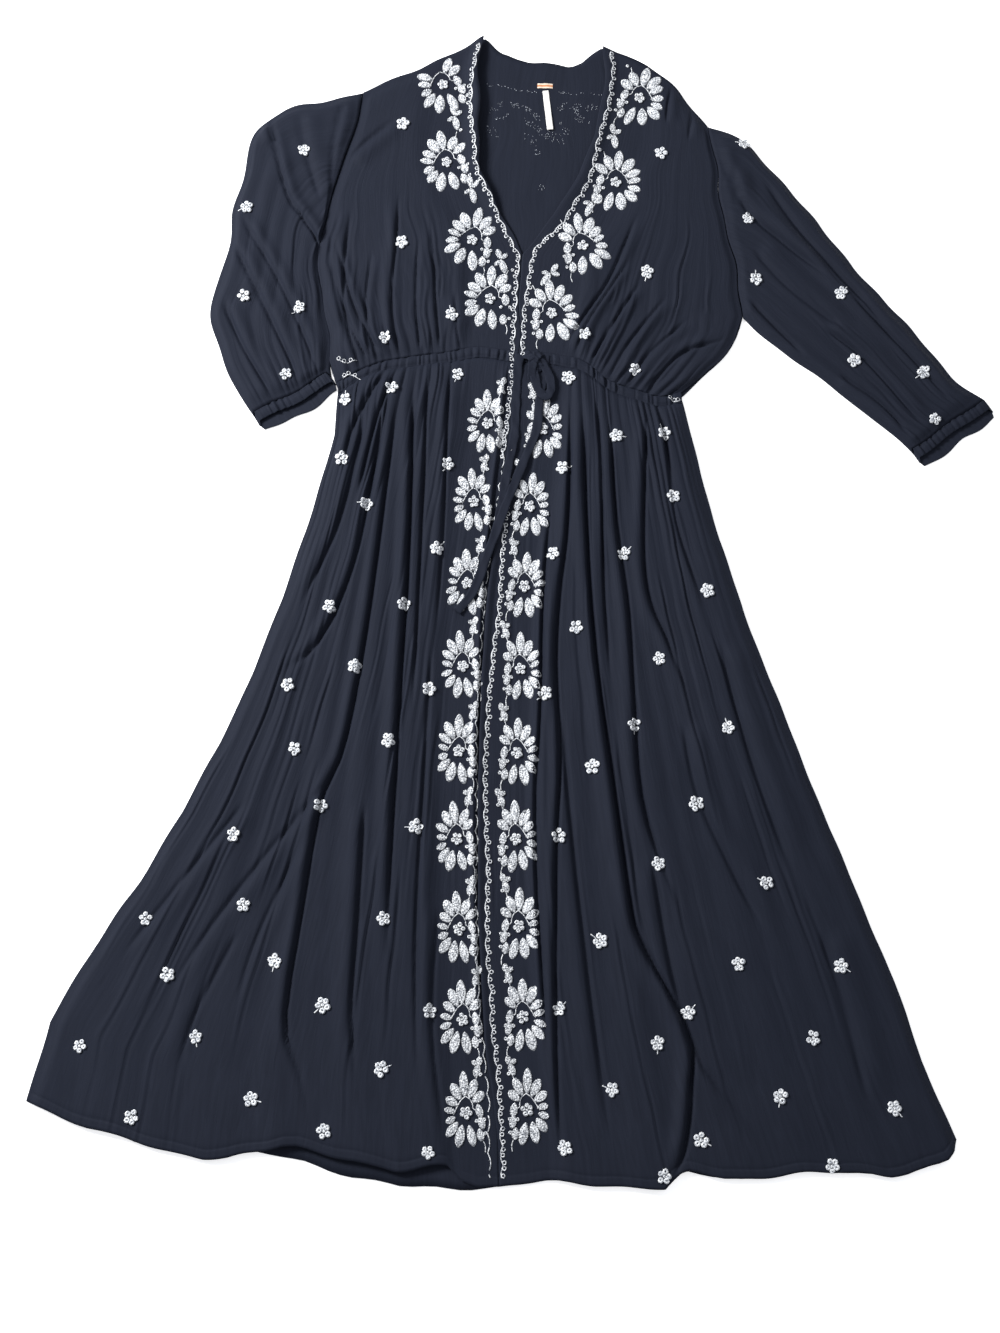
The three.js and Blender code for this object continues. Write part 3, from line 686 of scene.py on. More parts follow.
def keep_laid(points):
    """Remembers a laid sheet for what is sewn on it."""
    start = sum(len(p) for p in laid_points)
    rows, columns = points.shape[:2]
    index = start + np.arange(rows * columns).reshape(rows, columns)
    quads = np.stack([index[:-1, :-1], index[:-1, 1:], index[1:, 1:], index[1:, :-1]], axis=-1)
    laid_points.append(points.reshape(-1, 3))
    laid_quads.append(quads.reshape(-1, 4))


for side, sign in outward.items():
    to_casing = casing_half + seam_gap
    skirt_corners = [
        at("front", sign * seam_gap / 2, -to_casing),
        at(f"side_{side}", 0, -to_casing),
        at(f"hem_{side}"),
        at("hem", sign * seam_gap / 2),
    ]
    skirt_cut = cut(outline(f"front_skirt_{side}", 1), skirt_corners)
    across = np.linspace(0, 1, 230)
    # The rows close up at the hem, for its line of stitches.
    near_hem = 1 - np.array([0.0185, 0.0150, 0.0125, 0.0110, 0.0100, 0.0090, 0.0070, 0.0040, 0])
    down = np.concatenate([np.linspace(0, 0.978, 154), near_hem])
    middle = even(skirt_cut(0, 3), down)
    if side == "left":
        lap = even(rounded(seen(lap_line), 80), np.linspace(0, 1, 80))
        lapped = np.interp(-middle[:, 1], -lap[:, 1], lap[:, 0])
        inside = smoothstep(down, 0.06, 0.16) * (1 - smoothstep(down, 0.86, 0.97))
        middle[:, 0] += np.minimum(lapped - middle[:, 0], 0) * inside
    skirt_edge, waist, hem = skirt_cut(1, 2), skirt_cut(0, 1), skirt_cut(3, 2)
    plan = patch(middle, even(skirt_edge, down), even(waist, across), even(hem, across), across, down)
    plan = drawn_out(plan)
    width = row_widths(plan)
    length = np.linalg.norm(skirt_edge[-1] - skirt_edge[0])
    from_front, from_side = across[None] * width, (1 - across[None]) * width
    from_waist = np.repeat(down[:, None] * length, len(across), axis=1)
    from_hem = (1 - down[:, None]) * length
    loft = 0.45 * (softened(solid_top(f"front_skirt_{side}", plan), 14) - front_rest)
    loft += creased(plan.reshape(-1, 2), skirt_creases[side]).reshape(loft.shape)
    loft += skirt_loft * smoothstep(from_waist, 0.0, 0.05)
    place = np.repeat(across[None], len(down), axis=0)
    loft += gathers(place, from_waist, 21, 0.0036, 0.16, 5 + side_seed[side])
    thin_lines = fine_creases(place, down, width, 44, 41 + side_seed[side])
    free = smoothstep(from_front, *skirt_band) * smoothstep(from_side, 0.001, 0.016)
    heights = front_rest + loft * free + thin_lines * (0.45 + 0.55 * free)
    heights += 0.0002 * np.sin(from_waist * 60 + from_front * 40) * smoothstep(from_front, 0, 0.02)
    heights += creased(plan.reshape(-1, 2), band_creases[side]).reshape(loft.shape)
    if side == "left":
        folded = 0.0011 + 0.0028 * (1 - smoothstep(from_front, 0.002, 0.009))
        heights += folded * (1 - smoothstep(from_front, 0.012, 0.030)) * inside[:, None]
    heights -= stitch_depth * np.exp(-(((from_hem - hem_depth) / stitch_width) ** 2))
    heights -= 0.0008 * (1 - smoothstep(from_side, 0.0, 0.004))
    points = np.dstack([plan, no_lower(heights, front_low)])
    keep_laid(points)
    uv = np.dstack([place * 0.34, from_waist])
    skirt = cloth_mesh(f"front_skirt_{side}_cloth", points, uv)
    finish_cloth(skirt, f"front_skirt_{side}")

    bodice_corners = [
        at(f"neck_{side}"),
        at(f"shoulder_{side}"),
        at(f"underarm_{side}"),
        at(f"side_{side}", 0, to_casing),
        at("front", sign * seam_gap / 2, to_casing),
        at("chest", sign * seam_gap / 2),
    ]
    bodice_cut = cut(outline(f"front_bodice_{side}", 1), bodice_corners)
    across, down = np.linspace(0, 1, 140), np.linspace(0, 1, 110)
    plan = patch(
        bent(bodice_cut(0, 5), bodice_cut(5, 4), down),
        bent(bodice_cut(1, 2), bodice_cut(2, 3), down),
        even(bodice_cut(0, 1), across),
        even(bodice_cut(4, 3), across),
        across,
        down,
    )
    plan = drawn_out(plan)
    width = row_widths(plan)
    from_front, from_side = across[None] * width, (1 - across[None]) * width
    row_gap = np.linalg.norm(np.diff(plan, axis=0), axis=2)
    from_waist = np.concatenate([np.cumsum(row_gap[::-1], axis=0)[::-1], np.zeros((1, len(across)))])
    loft = 0.5 * (softened(solid_top(f"front_bodice_{side}", plan), 10) - front_rest)
    loft += creased(plan.reshape(-1, 2), bodice_creases[side]).reshape(loft.shape)
    loft += bodice_loft * smoothstep(from_waist, 0.0, 0.03)
    place = np.repeat(across[None], len(down), axis=0)
    loft += gathers(place, from_waist, 20, 0.0044, 0.11, 11 + side_seed[side])
    loft += fine_creases(place, 1.6 * (1 - down), width, 26, 51 + side_seed[side])
    free = smoothstep(from_front, *bodice_band) * smoothstep(from_side, 0.001, 0.014)
    free = free * smoothstep(np.repeat(down[:, None], len(across), axis=1), 0, 0.05)
    heights = front_rest + loft * free
    roll = np.exp(-(((from_front - 0.004) / 0.010) ** 2)) * (0.4 + 0.6 * smoothstep(down[:, None], 0, 0.05))
    heights += neck_roll[side] * roll * (1 - smoothstep(down[:, None], 0.30, 0.48))
    points = np.dstack([plan, no_lower(heights, front_low)])
    keep_laid(points)
    uv = np.dstack([place * 0.27, np.repeat(down[:, None] * 0.42, len(across), axis=1)])
    bodice = cloth_mesh(f"front_bodice_{side}_cloth", points, uv)
    finish_cloth(bodice, f"front_bodice_{side}")

# Waist casing: a narrow strip of the same cloth sewn round the waist on two rows of stitches, drawn up
# on the cord inside it, so that it swells and ripples. Its edges lie over the gathers above and below it.
casing_lap = 1.25
for side, sign in outward.items():
    casing_corners = [
        at("front", sign * seam_gap / 2, casing_half),
        at(f"side_{side}", 0, casing_half),
        at(f"side_{side}", 0, -casing_half),
        at("front", sign * seam_gap / 2, -casing_half),
    ]
    casing_cut = cut(outline(f"waist_casing_{side}", 1), casing_corners)
    across, down = np.linspace(0, 1, 230), np.linspace(0, 1, 15)
    plan = patch(
        even(casing_cut(0, 3), down),
        even(casing_cut(1, 2), down),
        even(casing_cut(0, 1), across),
        even(casing_cut(3, 2), across),
        across,
        down,
    )
    plan = drawn_out(plan)
    plan = plan[7] + (plan - plan[7]) * casing_lap
    place, fall = np.meshgrid(across, down)
    swell = np.sin(np.pi * fall) ** 0.6
    width = row_widths(plan)
    ripple = fine_creases(place, down, width, 52, 71 + side_seed[side], whole=True)
    sewn = np.exp(-(((fall - 0.22) / 0.07) ** 2)) + np.exp(-(((fall - 0.78) / 0.07) ** 2))
    heights = front_rest + 0.0019 * swell + 0.6 * ripple * swell - 0.0004 * sewn
    points = np.dstack([plan, no_lower(heights, front_low)])
    keep_laid(points)
    casing = cloth_mesh(f"waist_casing_{side}_cloth", points, np.dstack([place * 0.3, fall * 0.012]))
    finish_cloth(casing, f"waist_casing_{side}")

# Sleeves and cuffs: full three-quarter sleeves, lying as flattened tubes, drawn in at the wrist by a
# narrow elastic casing. The upper layer lies a little short of the lower one, so that the mouth shows.
sleeve_rest, sleeve_low, sleeve_under, sleeve_loft = 0.0033, 0.0030, 0.0002, 0.0034
armhole_gap, cuff_depth, mouth_set_back, mouth_hang = 0.0004, 0.012, 0.010, 0.006
lower_layer_top, upper_layer_foot = 0.0005, 0.0025
sleeve_creases = {
    "right": [
        crease(4, 4, 3, (271, 126), (287, 193), (303, 218), (317, 240), (324, 270), (331, 305), (337, 340)),
        crease(3, 4.4, 2.4, (240, 215), (276, 275), (303, 333), (322, 384)),
        crease(3.6, 5, 2.6, (232, 240), (262, 300), (290, 360), (305, 398)),
        crease(3, 5, 2.4, (222, 300), (245, 350), (276, 402)),
        crease(3.4, 4.5, -3, (268, 112), (272, 128), (276, 146)),
        crease(2, 7, 2, (300, 112), (306, 150), (322, 205)),
        crease(2, 6, 2, (345, 100), (335, 140), (330, 200)),
    ],
    "left": [
        crease(3.6, 6, 3, (730, 164), (745, 208), (783, 243), (834, 284)),
        crease(3.4, 5, -2.6, (750, 302), (775, 328), (806, 358)),
        crease(3.8, 5.5, 3, (821, 327), (865, 361), (926, 429)),
        crease(2.6, 7, -2.4, (762, 180), (806, 240), (866, 305), (900, 350)),
        crease(3.2, 5, 2.6, (850, 296), (905, 352), (955, 408)),
        crease(3, 5, -2.4, (838, 375), (880, 404), (912, 440)),
        crease(2.4, 7, 2.4, (752, 250), (790, 290), (850, 336)),
        crease(2.4, 5, 2.2, (716, 150), (728, 176), (738, 210)),
    ],
}


def two_layers(lower, upper, edge_share, lower_columns, upper_columns, down):
    """Rings of a flattened tube in plan: along the lower layer, round the far edge and back on the upper one.
    It gives the places across the upper layer and that layer's plan too."""
    turn = [1 - 0.35 * edge_share, 1, 1 - 0.35 * edge_share]
    under = np.linspace(edge_share, 1 - edge_share, lower_columns)
    over = np.linspace(1 - edge_share, edge_share, upper_columns)
    ends = np.concatenate([turn, 1 - np.array(turn)])
    half = (lower(ends, down) + upper(ends, down)) / 2
    plan = np.concatenate([lower(under, down), half[:, :3], upper(over, down), half[:, 3:]], axis=1)
    return plan, over, plan[:, lower_columns + 3 : -3]


def layer(pattern, hang=(0.0, 0.0)):
    """A layer of a sleeve or cuff between its outer, inner, upper and lower edges. The lower may hang out."""
    return lambda across, down: patch(
        softened(even(pattern(0, 3), down), 14, (0,)),
        softened(even(pattern(1, 2), down), 14, (0,)),
        even(pattern(0, 1), across),
        even(pattern(3, 2), across) + np.outer(np.sin(np.pi * across) * (0.6 + 0.4 * np.sin(11 * across)), hang),
        across,
        down,
    )


def tube_heights(over, lower_columns):
    """Heights of the rings: the lower layer, the rounded far edge, the upper layer, the rounded near edge."""
    rows = over.shape[0]
    turn = np.repeat([[0.0008, 0.0017, 0.0027]], rows, axis=0)
    return np.concatenate([np.full((rows, lower_columns), sleeve_under), turn, over, turn[:, ::-1]], axis=1)


def tube_weave(plan, down, length):
    """Weave of a tube: round it and along it, with one more column where it closes."""
    round_it = np.linspace(0, 0.36, plan.shape[1] + 1)
    return np.dstack(np.meshgrid(round_it, down * length))


for side, sign in outward.items():
    outer, inner = at(f"cuff_outer_{side}"), at(f"cuff_inner_{side}")
    mouth = (inner - outer) / np.linalg.norm(inner - outer)
    up_arm = sign * np.array([mouth[1], -mouth[0]])
    shoulder, pit = at(f"shoulder_{side}", sign * armhole_gap), at(f"underarm_{side}", sign * armhole_gap)

    lower_loop = outline(f"sleeve_{side}", -1, 0, lower_layer_top)
    upper_loop = outline(f"sleeve_{side}", 1, upper_layer_foot)
    wrist = up_arm * cuff_depth
    back_wrist = up_arm * (cuff_depth + mouth_set_back)
    lower = layer(cut(lower_loop, [shoulder, pit, inner + wrist, outer + wrist]))
    upper = layer(cut(upper_loop, [shoulder, pit, inner + back_wrist, outer + back_wrist]))
    down = np.linspace(0, 1, 100)
    lower_columns = 24
    plan, over, top_plan = two_layers(lower, upper, 0.012, lower_columns, 104, down)
    width = row_widths(top_plan)
    to_edge = np.minimum(over, 1 - over)[None] * width
    length = np.linalg.norm(outer - shoulder)
    from_wrist = np.repeat((1 - down[:, None]) * length, len(over), axis=1)
    loft = 0.5 * (softened(solid_top(f"sleeve_{side}", top_plan), 8) - sleeve_rest)
    loft += creased(top_plan.reshape(-1, 2), sleeve_creases[side]).reshape(loft.shape) + sleeve_loft
    place = np.repeat(over[None], len(down), axis=0)
    loft += gathers(place, from_wrist, 13, 0.0034, 0.07, 21 + side_seed[side])
    loft += 0.45 * fine_creases(place, down, width, 14, 61 + side_seed[side])
    from_armhole = np.repeat(down[:, None] * length, len(over), axis=1)
    loft += gathers(place, from_armhole, 12, 0.0016, 0.05, 31 + side_seed[side])
    free = smoothstep(to_edge, 0.0, 0.014) * (0.25 + 0.75 * smoothstep(from_armhole, 0, 0.02))
    free *= 0.3 + 0.7 * smoothstep(from_wrist, 0, 0.02)
    heights = no_lower(sleeve_rest + loft * free, sleeve_low)
    points = np.dstack([plan, tube_heights(heights, lower_columns)])
    keep_laid(np.dstack([top_plan, heights]))
    sleeve = cloth_mesh(f"sleeve_{side}_cloth", points, tube_weave(plan, down, length), wrap=True)
    finish_cloth(sleeve, f"sleeve_{side}")

    lower_loop = outline(f"cuff_{side}", -1, 0, lower_layer_top)
    upper_loop = outline(f"cuff_{side}", 1, upper_layer_foot)
    lower_corners = [outer + wrist, inner + wrist, inner, outer]
    lower = layer(cut(lower_loop, lower_corners), -up_arm * mouth_hang)
    set_back = up_arm * mouth_set_back
    upper_corners = [outer + back_wrist, inner + back_wrist, inner + set_back, outer + set_back]
    upper = layer(cut(upper_loop, upper_corners))
    down = np.linspace(0, 1, 13)
    lower_columns = 40
    plan, over, top_plan = two_layers(lower, upper, 0.03, lower_columns, 120, down)
    place, fall = np.meshgrid(over, down)
    swell = np.sin(np.pi * fall)
    wide = np.linalg.norm(inner - outer)
    ripple = fine_creases(place, down, wide, 30, 81 + side_seed[side], whole=True)
    sewn = np.exp(-(((fall - 0.2) / 0.1) ** 2))
    edge = smoothstep(np.minimum(place, 1 - place), 0.03, 0.1)
    full = (0.0010 * swell + 0.45 * ripple - 0.0003 * sewn) * edge
    heights = no_lower(sleeve_rest + 0.0010 + full, sleeve_low)
    points = np.dstack([plan, tube_heights(heights, lower_columns)])
    keep_laid(np.dstack([top_plan, heights]))
    cuff = cloth_mesh(f"cuff_{side}_cloth", points, tube_weave(plan, down, cuff_depth), wrap=True)
    finish_cloth(cuff, f"cuff_{side}")

# Drawstring: a flat tie sewn from the same cloth, which leaves the casing at the middle, is knotted in
# half a bow, and lies down the skirt with two free ends.
tie_width, tie_thickness = 0.0098, 0.0019
# Points of the routes in millimetres from the middle of the waist, the last one a height over the cloth.
over_cloth, over_flowers, over_ties = 1.0, 2.6, 4.4
leaving_casing = over_cloth + 0.5
tie_routes = {
    "right": [
        (3, -1, leaving_casing), (0, -12, leaving_casing), (-1, -30, over_cloth), (-3, -60, over_cloth),
        (-4, -92, over_cloth), (-10, -126, over_cloth), (-15, -152, over_cloth), (-19, -180, over_cloth),
        (-23, -200, over_cloth), (-28, -217, over_cloth),
    ],
    "left": [
        (30, -1, over_cloth), (28, -18, leaving_casing), (26, -38, over_flowers), (23, -58, over_flowers),
        (20, -88, over_flowers), (7, -122, over_flowers), (-11, -168, over_flowers), (-31, -224, over_flowers),
        (-47, -268, over_flowers), (-66, -293, over_flowers),
    ],
    "loop": [
        (17, -8, over_ties), (26, -11, over_ties), (34, -27, over_ties), (36, -42, over_ties),
        (30, -50, over_ties), (22, -42, over_ties), (18, -25, over_ties), (18, -14, over_ties),
    ],
}
knot_routes = [
    [(7, -1, 2.4), (12, -4, 4.6), (17, -9, 6.2), (22, -14, 5.4), (26, -20, 3.2)],
    [(25, 1, 2.2), (20, -5, 5.2), (16, -13, 6.9), (15, -22, 5.6), (16, -30, 3.6)],
]

laid = BVHTree.FromPolygons(np.concatenate(laid_points).tolist(), np.concatenate(laid_quads).tolist())


def on_cloth(x, y):
    """The height of the laid cloth, or nothing beside it."""
    hit = laid.ray_cast(Vector((x, y, 0.1)), Vector((0, 0, -1)))[0]
    return hit.z if hit else None


def flat_tie(name, route):
    """A flat, slightly rumpled tie along a route, at heights over the cloth; it gives its middle line too."""
    points = np.array(route) / 1000 + (*waist_middle, 0)
    line = even(rounded(points, 160), np.linspace(0, 1, 90))
    ground = [max(on_cloth(x + step, y) or front_rest for step in (-0.004, 0, 0.004)) for x, y, _ in line]
    line[:, 2] += softened(np.array(ground)[:, None], 8)[:, 0]
    run = np.gradient(line, axis=0)
    run /= np.linalg.norm(run, axis=1)[:, None]
    across = np.cross(run, (0, 0, 1.0))
    across /= np.linalg.norm(across, axis=1)[:, None]
    upward = np.cross(across, run)
    turn = np.linspace(0, 2 * np.pi, 16, endpoint=False)
    flat_x = np.sign(np.cos(turn)) * np.abs(np.cos(turn)) ** 0.6
    flat_z = np.sign(np.sin(turn)) * np.abs(np.sin(turn)) ** 0.7
    way = np.linspace(0, len(route), len(line))[:, None]
    wide = tie_width / 2 * (1 + 0.07 * np.sin(way * 3.1) + 0.04 * np.sin(way * 7.7))
    pressed = np.exp(-(((flat_x - 0.3 * np.sin(way * 1.7)) / 0.3) ** 2))
    rumple = 0.3 * np.sin(way * 5.3 + 2.4 * flat_x) * np.sin(way * 2.1) - 0.45 * pressed
    high = tie_thickness * (flat_z / 2 + rumple * (flat_z > 0.5))
    rings = line[:, None] + across[:, None] * (wide * flat_x)[..., None] + upward[:, None] * high[..., None]
    weave = np.dstack(np.meshgrid(np.linspace(0, 0.022, len(turn) + 1), np.linspace(0, 0.3, len(line))))
    tie = cloth_mesh(name, rings, weave, wrap=True)
    shape = bmesh.new()
    shape.from_mesh(tie.data)
    bmesh.ops.holes_fill(shape, edges=[e for e in shape.edges if e.is_boundary], sides=0)
    bmesh.ops.recalc_face_normals(shape, faces=shape.faces)
    shape.to_mesh(tie.data)
    shape.free()
    return tie, line


for number, route in enumerate(knot_routes, 1):
    turn_of_knot, _ = flat_tie(f"drawstring_knot_{number}", route)
    sew_on(turn_of_knot, "rayon")
for end, route in tie_routes.items():
    tie, line = flat_tie(f"drawstring_{end}_tie", route)
    sew_on(tie, "rayon", f"drawstring_{end}")

# Large flowers: white chain-stitch petals, fat and close, round a dark drop-shaped eye with a small
# looped floret in it. A vine of florets and leaves runs down the side next to the front edge.
link_length, link_width, link_rise = 0.0026, 0.0016, 0.0006
link_points, petal_points, tube_sides, floret_loops = 5, 14, 5, 5
thread_line, pad_rise, thread_foot = 0.0005, 0.0013, -0.0003


def cotton(name, light, dark):
    """Embroidery cotton: a soft white twisted thread, with grey painted shade where its strands turn away."""
    material, tree, shader = new_material(name)
    place = add_node(tree, "ShaderNodeTexCoord").outputs["Object"]
    strand = 0.0016
    strand_bumps_and_shade = add_node(tree, "ShaderNodeTexNoise", {"Vector": place, "Scale": 1 / strand, "Detail": 2})
    spread = add_node(
        tree, "ShaderNodeMapRange", {"Value": strand_bumps_and_shade.outputs["Fac"], "From Min": 0.36, "From Max": 0.60}
    )
    # The low places of the noise take the dark colour, a painted shade between the strands; the same noise gives
    # the thread its bumps.
    colour = add_node(
        tree,
        "ShaderNodeMix",
        {"Factor": spread.outputs["Result"], "A": linear(dark), "B": linear(light)},
        data_type="RGBA",
    )
    bump = add_node(
        tree, "ShaderNodeBump", {"Height": strand_bumps_and_shade.outputs["Fac"], "Strength": 0.5, "Distance": 0.0004}
    )
    set_inputs(
        tree,
        shader,
        {
            "Base Color": colour.outputs["Result"],
            "Normal": bump.outputs[0],
            "Roughness": 0.65,
            "Specular IOR Level": 0.3,
        },
    )
    return material


# Each cotton's second colour is its painted shade.
white_thread = cotton("white_embroidery_cotton", "#e4e6e8", "#666b73")


def new_bag(level=None):
    """Thread that is sewn together: points with heights over the laid cloth, or over a level, and faces."""
    return {"points": [], "faces": [], "count": 0, "level": level}


def add_thread(bag, points, faces):
    """Puts more thread into a bag."""
    bag["points"].append(points)
    bag["faces"].extend([[i + bag["count"] for i in face] for face in faces])
    bag["count"] += len(points)


def dome_faces(count):
    """Faces of a low dome: a foot ring, a crown ring, a point in the middle and a flat base."""
    sides = [[i, (i + 1) % count, count + (i + 1) % count, count + i] for i in range(count)]
    top = [[count + i, count + (i + 1) % count, 2 * count] for i in range(count)]
    return sides + top + [list(range(count))[::-1]]


link_turn = np.linspace(0, 2 * np.pi, link_points, endpoint=False)
link_ring = np.stack([np.cos(link_turn), np.sin(link_turn) * (1 - 0.3 * np.cos(link_turn))], axis=1) / 2
link_faces = dome_faces(link_points)


def add_links(bag, places, lift, share=1.0):
    """A row of chain stitches: each is a drop-shaped loop with a hollow in its middle."""
    run = np.gradient(places, axis=0)
    run /= np.maximum(np.linalg.norm(run, axis=1), 1e-9)[:, None]
    for place, way in zip(places, run):
        if bag["level"] is None and on_cloth(*place) is None:
            continue
        across = np.array([-way[1], way[0]])
        size = np.array([link_length, link_width]) * share
        foot = place + (link_ring * size) @ np.array([way, across])
        ridge = place + (link_ring * size * (0.72, 0.6)) @ np.array([way, across])
        flat = np.concatenate([foot, ridge, [place]])
        rises = [thread_foot, link_rise * share, 0.2 * link_rise * share]
        high = lift + np.repeat(rises, [link_points, link_points, 1])
        add_thread(bag, np.column_stack([flat, high]), link_faces)


def add_tube(bag, line, lift, radius, closed=False):
    """A thread along a line."""
    run = np.roll(line, -1, 0) - np.roll(line, 1, 0) if closed else np.gradient(line, axis=0)
    run /= np.maximum(np.linalg.norm(run, axis=1), 1e-9)[:, None]
    across = np.stack([-run[:, 1], run[:, 0]], axis=1)
    turn = np.linspace(0, 2 * np.pi, tube_sides, endpoint=False) + np.pi / 2
    flat = line[:, None] + across[:, None] * (radius * np.cos(turn))[:, None]
    high = np.broadcast_to(lift + radius * 0.6 + radius * np.sin(turn), flat.shape[:2])
    index = np.arange(len(line) * tube_sides).reshape(-1, tube_sides)
    here, there = (index, np.roll(index, -1, 0)) if closed else (index[:-1], index[1:])
    walls = np.stack([there, np.roll(there, -1, 1), np.roll(here, -1, 1), here], axis=-1)
    faces = walls.reshape(-1, 4).tolist()
    if not closed:
        faces += [index[0].tolist(), index[-1, ::-1].tolist()]
    add_thread(bag, np.dstack([flat, high]).reshape(-1, 3), faces)


def add_loop(bag, centre, radius, lift, thread, steps):
    """A small round loop of thread."""
    turn = np.linspace(0, 2 * np.pi, steps, endpoint=False)
    ring = centre + radius * np.stack([np.cos(turn), np.sin(turn)], axis=1)
    add_tube(bag, ring, lift, thread, closed=True)


loop_draw = np.random.default_rng(3)


def add_floret(bag, centre, size, turned):
    """A floret of small, almost closed loops about its middle, no two alike."""
    if on_cloth(*centre) is None:
        return
    for k in range(floret_loops):
        way = turned + 2 * np.pi * k / floret_loops + loop_draw.uniform(-0.16, 0.16)
        reach = 0.55 * size * loop_draw.uniform(0.9, 1.12)
        middle = centre + reach * np.array([np.cos(way), 1.1 * np.sin(way)])
        add_loop(bag, middle, 0.21 * size * loop_draw.uniform(0.9, 1.15), 0.0003, 0.165 * size, 8)
    add_loop(bag, centre, 0.12 * size, 0.0004, 0.11 * size, 6)


petal_turn = np.linspace(0, 2 * np.pi, petal_points, endpoint=False)


def line_length(line):
    """The length of a line of points."""
    return np.linalg.norm(np.diff(line, axis=0), axis=1).sum()


def petal_outline(base, tip, width, scale, turn):
    """Points round a leaf shape with a blunt base and a pointed tip."""
    share = 0.5 - np.cos(turn) / 2
    inside = np.clip(share, 0, 1)
    half = width / 2 * scale * inside**0.75 * (1 - inside) ** 0.62 / 0.391 * np.sign(np.sin(turn))
    run = (tip - base) / np.linalg.norm(tip - base)
    share = 0.52 + scale * (share - 0.52)
    return base + share[:, None] * (tip - base) + half[:, None] * np.array([-run[1], run[0]])


def add_petal(bag, base, tip, width):
    """A petal: a low pad, covered with rows of chain stitch that follow its outline."""
    if on_cloth(*((base + tip) / 2)) is None or on_cloth(*(0.2 * base + 0.8 * tip)) is None:
        return
    rim = petal_outline(base, tip, width, 1, petal_turn)
    crown = petal_outline(base, tip, width, 0.8, petal_turn)
    flat = np.concatenate([rim, crown, [(base + tip) / 2]])
    high = np.repeat([thread_foot, 0.7 * pad_rise, pad_rise], [petal_points, petal_points, 1])
    faces = dome_faces(petal_points)
    if (tip - base)[0] * (crown[3] - base)[1] - (tip - base)[1] * (crown[3] - base)[0] > 0:
        faces = [face[::-1] for face in faces]
    add_thread(bag, np.column_stack([flat, high]), faces)
    fine = np.linspace(0, 2 * np.pi, 60)
    for scale, lift in ((0.76, 0.66), (0.36, 0.86)):
        ring = petal_outline(base, tip, width, scale, fine)
        count = max(4, round(line_length(ring) / (0.92 * link_length)))
        places = even(ring, np.linspace(0, 1, count, endpoint=False))
        add_links(bag, places, lift * pad_rise)


def add_sprig(bag, tip, root):
    """A sprig: a leaf at its tip, one at its root and one to each side."""
    run = root - tip
    across = np.array([-run[1], run[0]])
    add_petal(bag, tip + 0.42 * run, tip, 0.0072)
    add_petal(bag, tip + 0.40 * run, root, 0.0086)
    add_petal(bag, tip + 0.42 * run, tip + 0.30 * run + 0.30 * across, 0.0056)
    add_petal(bag, tip + 0.46 * run, tip + 0.58 * run - 0.28 * across, 0.0052)


def lay_thread(name, bag, material, *nodes):
    """Lays the thread of a bag on the cloth as one piece."""
    points = np.concatenate(bag["points"])
    for point in points:
        height = bag["level"] or on_cloth(point[0], point[1])
        point[2] += front_rest if height is None else height
    mesh = bpy.data.meshes.new(name)
    mesh.from_pydata(points.tolist(), [], bag["faces"])
    mesh.polygons.foreach_set("use_smooth", [True] * len(mesh.polygons))
    mesh.materials.append(material)
    piece = bpy.data.objects.new(name, mesh)
    scene.collection.objects.link(piece)
    sew_on(piece, "thread", *nodes)


# Petals of one flower in millimetres, x away from the front edge and y towards the neck:
# base x, base y, tip x, tip y, width.
petals = [
    (1.0, 11.8, 2.3, 38.0, 10.2),
    (5.0, 9.8, 14.6, 28.6, 10.6),
    (7.6, 5.2, 20.4, 14.8, 9.4),
    (10.0, -0.8, 22.2, 2.6, 7.2),
    (10.8, -5.6, 22.4, -11.6, 7.8),
    (8.6, -10.0, 20.2, -25.2, 9.8),
    (4.6, -12.6, 9.2, -36.2, 11.0),
    (-1.6, -13.2, -6.4, -36.6, 10.2),
    (-3.2, 11.0, -11.4, 29.0, 10.2),
    (-6.4, 6.8, -17.8, 17.2, 9.8),
]
vine_leaves = [
    (-11.4, 6.4, -14.4, -8.4, 8.2),
    (-12.8, -5.4, -16.2, -19.6, 7.6),
    (-11.8, -17.4, -13.8, -30.6, 8.0),
    (-14.6, 41.6, -16.4, 52.0, 6.8),
    (-14.8, 45.0, -10.6, 31.0, 7.8),
    (-13.4, 43.4, -8.0, 47.8, 5.2),
]
# Sprigs between the flowers of the bodice, each from its tip to its root, in photograph pixels.
sprigs = {
    "right": [((452, 105), (458, 131)), ((469, 177), (475, 204)), ((497, 249), (506, 274))],
    "left": [((612, 124), (616, 149)), ((597, 191), (586, 217)), ((558, 264), (541, 286))],
}
vine_loops = [(-9.8, -10.4), (-17.4, -9.6), (-17.8, -22.6), (-16.0, 34.0)]
stitch_lines = [
    [(-12.4, 33.0), (-11.0, 28.0), (-9.0, 22.0)],
    [(-15.4, -30), (-17.0, -35), (-16.8, -41)],
    [(0.2, 14.0), (-4.4, 10.4), (-6.6, 5.4), (-7.0, 1.6), (-10.6, -0.8)],
    [(0.2, 14.0), (5.6, 9.4), (10.4, 1.6), (13.0, -3.0)],
]
flower_shape = {"bodice": (1.3, 1.03), "skirt": (1.0, 1.0)}
flower_counts = {"bodice": 4, "skirt": 9}
bodice_lean = {"right": (14, 8, -14, -6), "left": (-12, -6, 14, 8)}
neck_margin, eye_floret = 0.013, 0.0070


def sewn_clear(place):
    """Whether a front lies under a place and for a margin to each side of it."""
    steps = (-neck_margin, 0, neck_margin)
    return all((on_cloth(place[0] + step, place[1]) or 0) > 0.9 * front_low for step in steps)


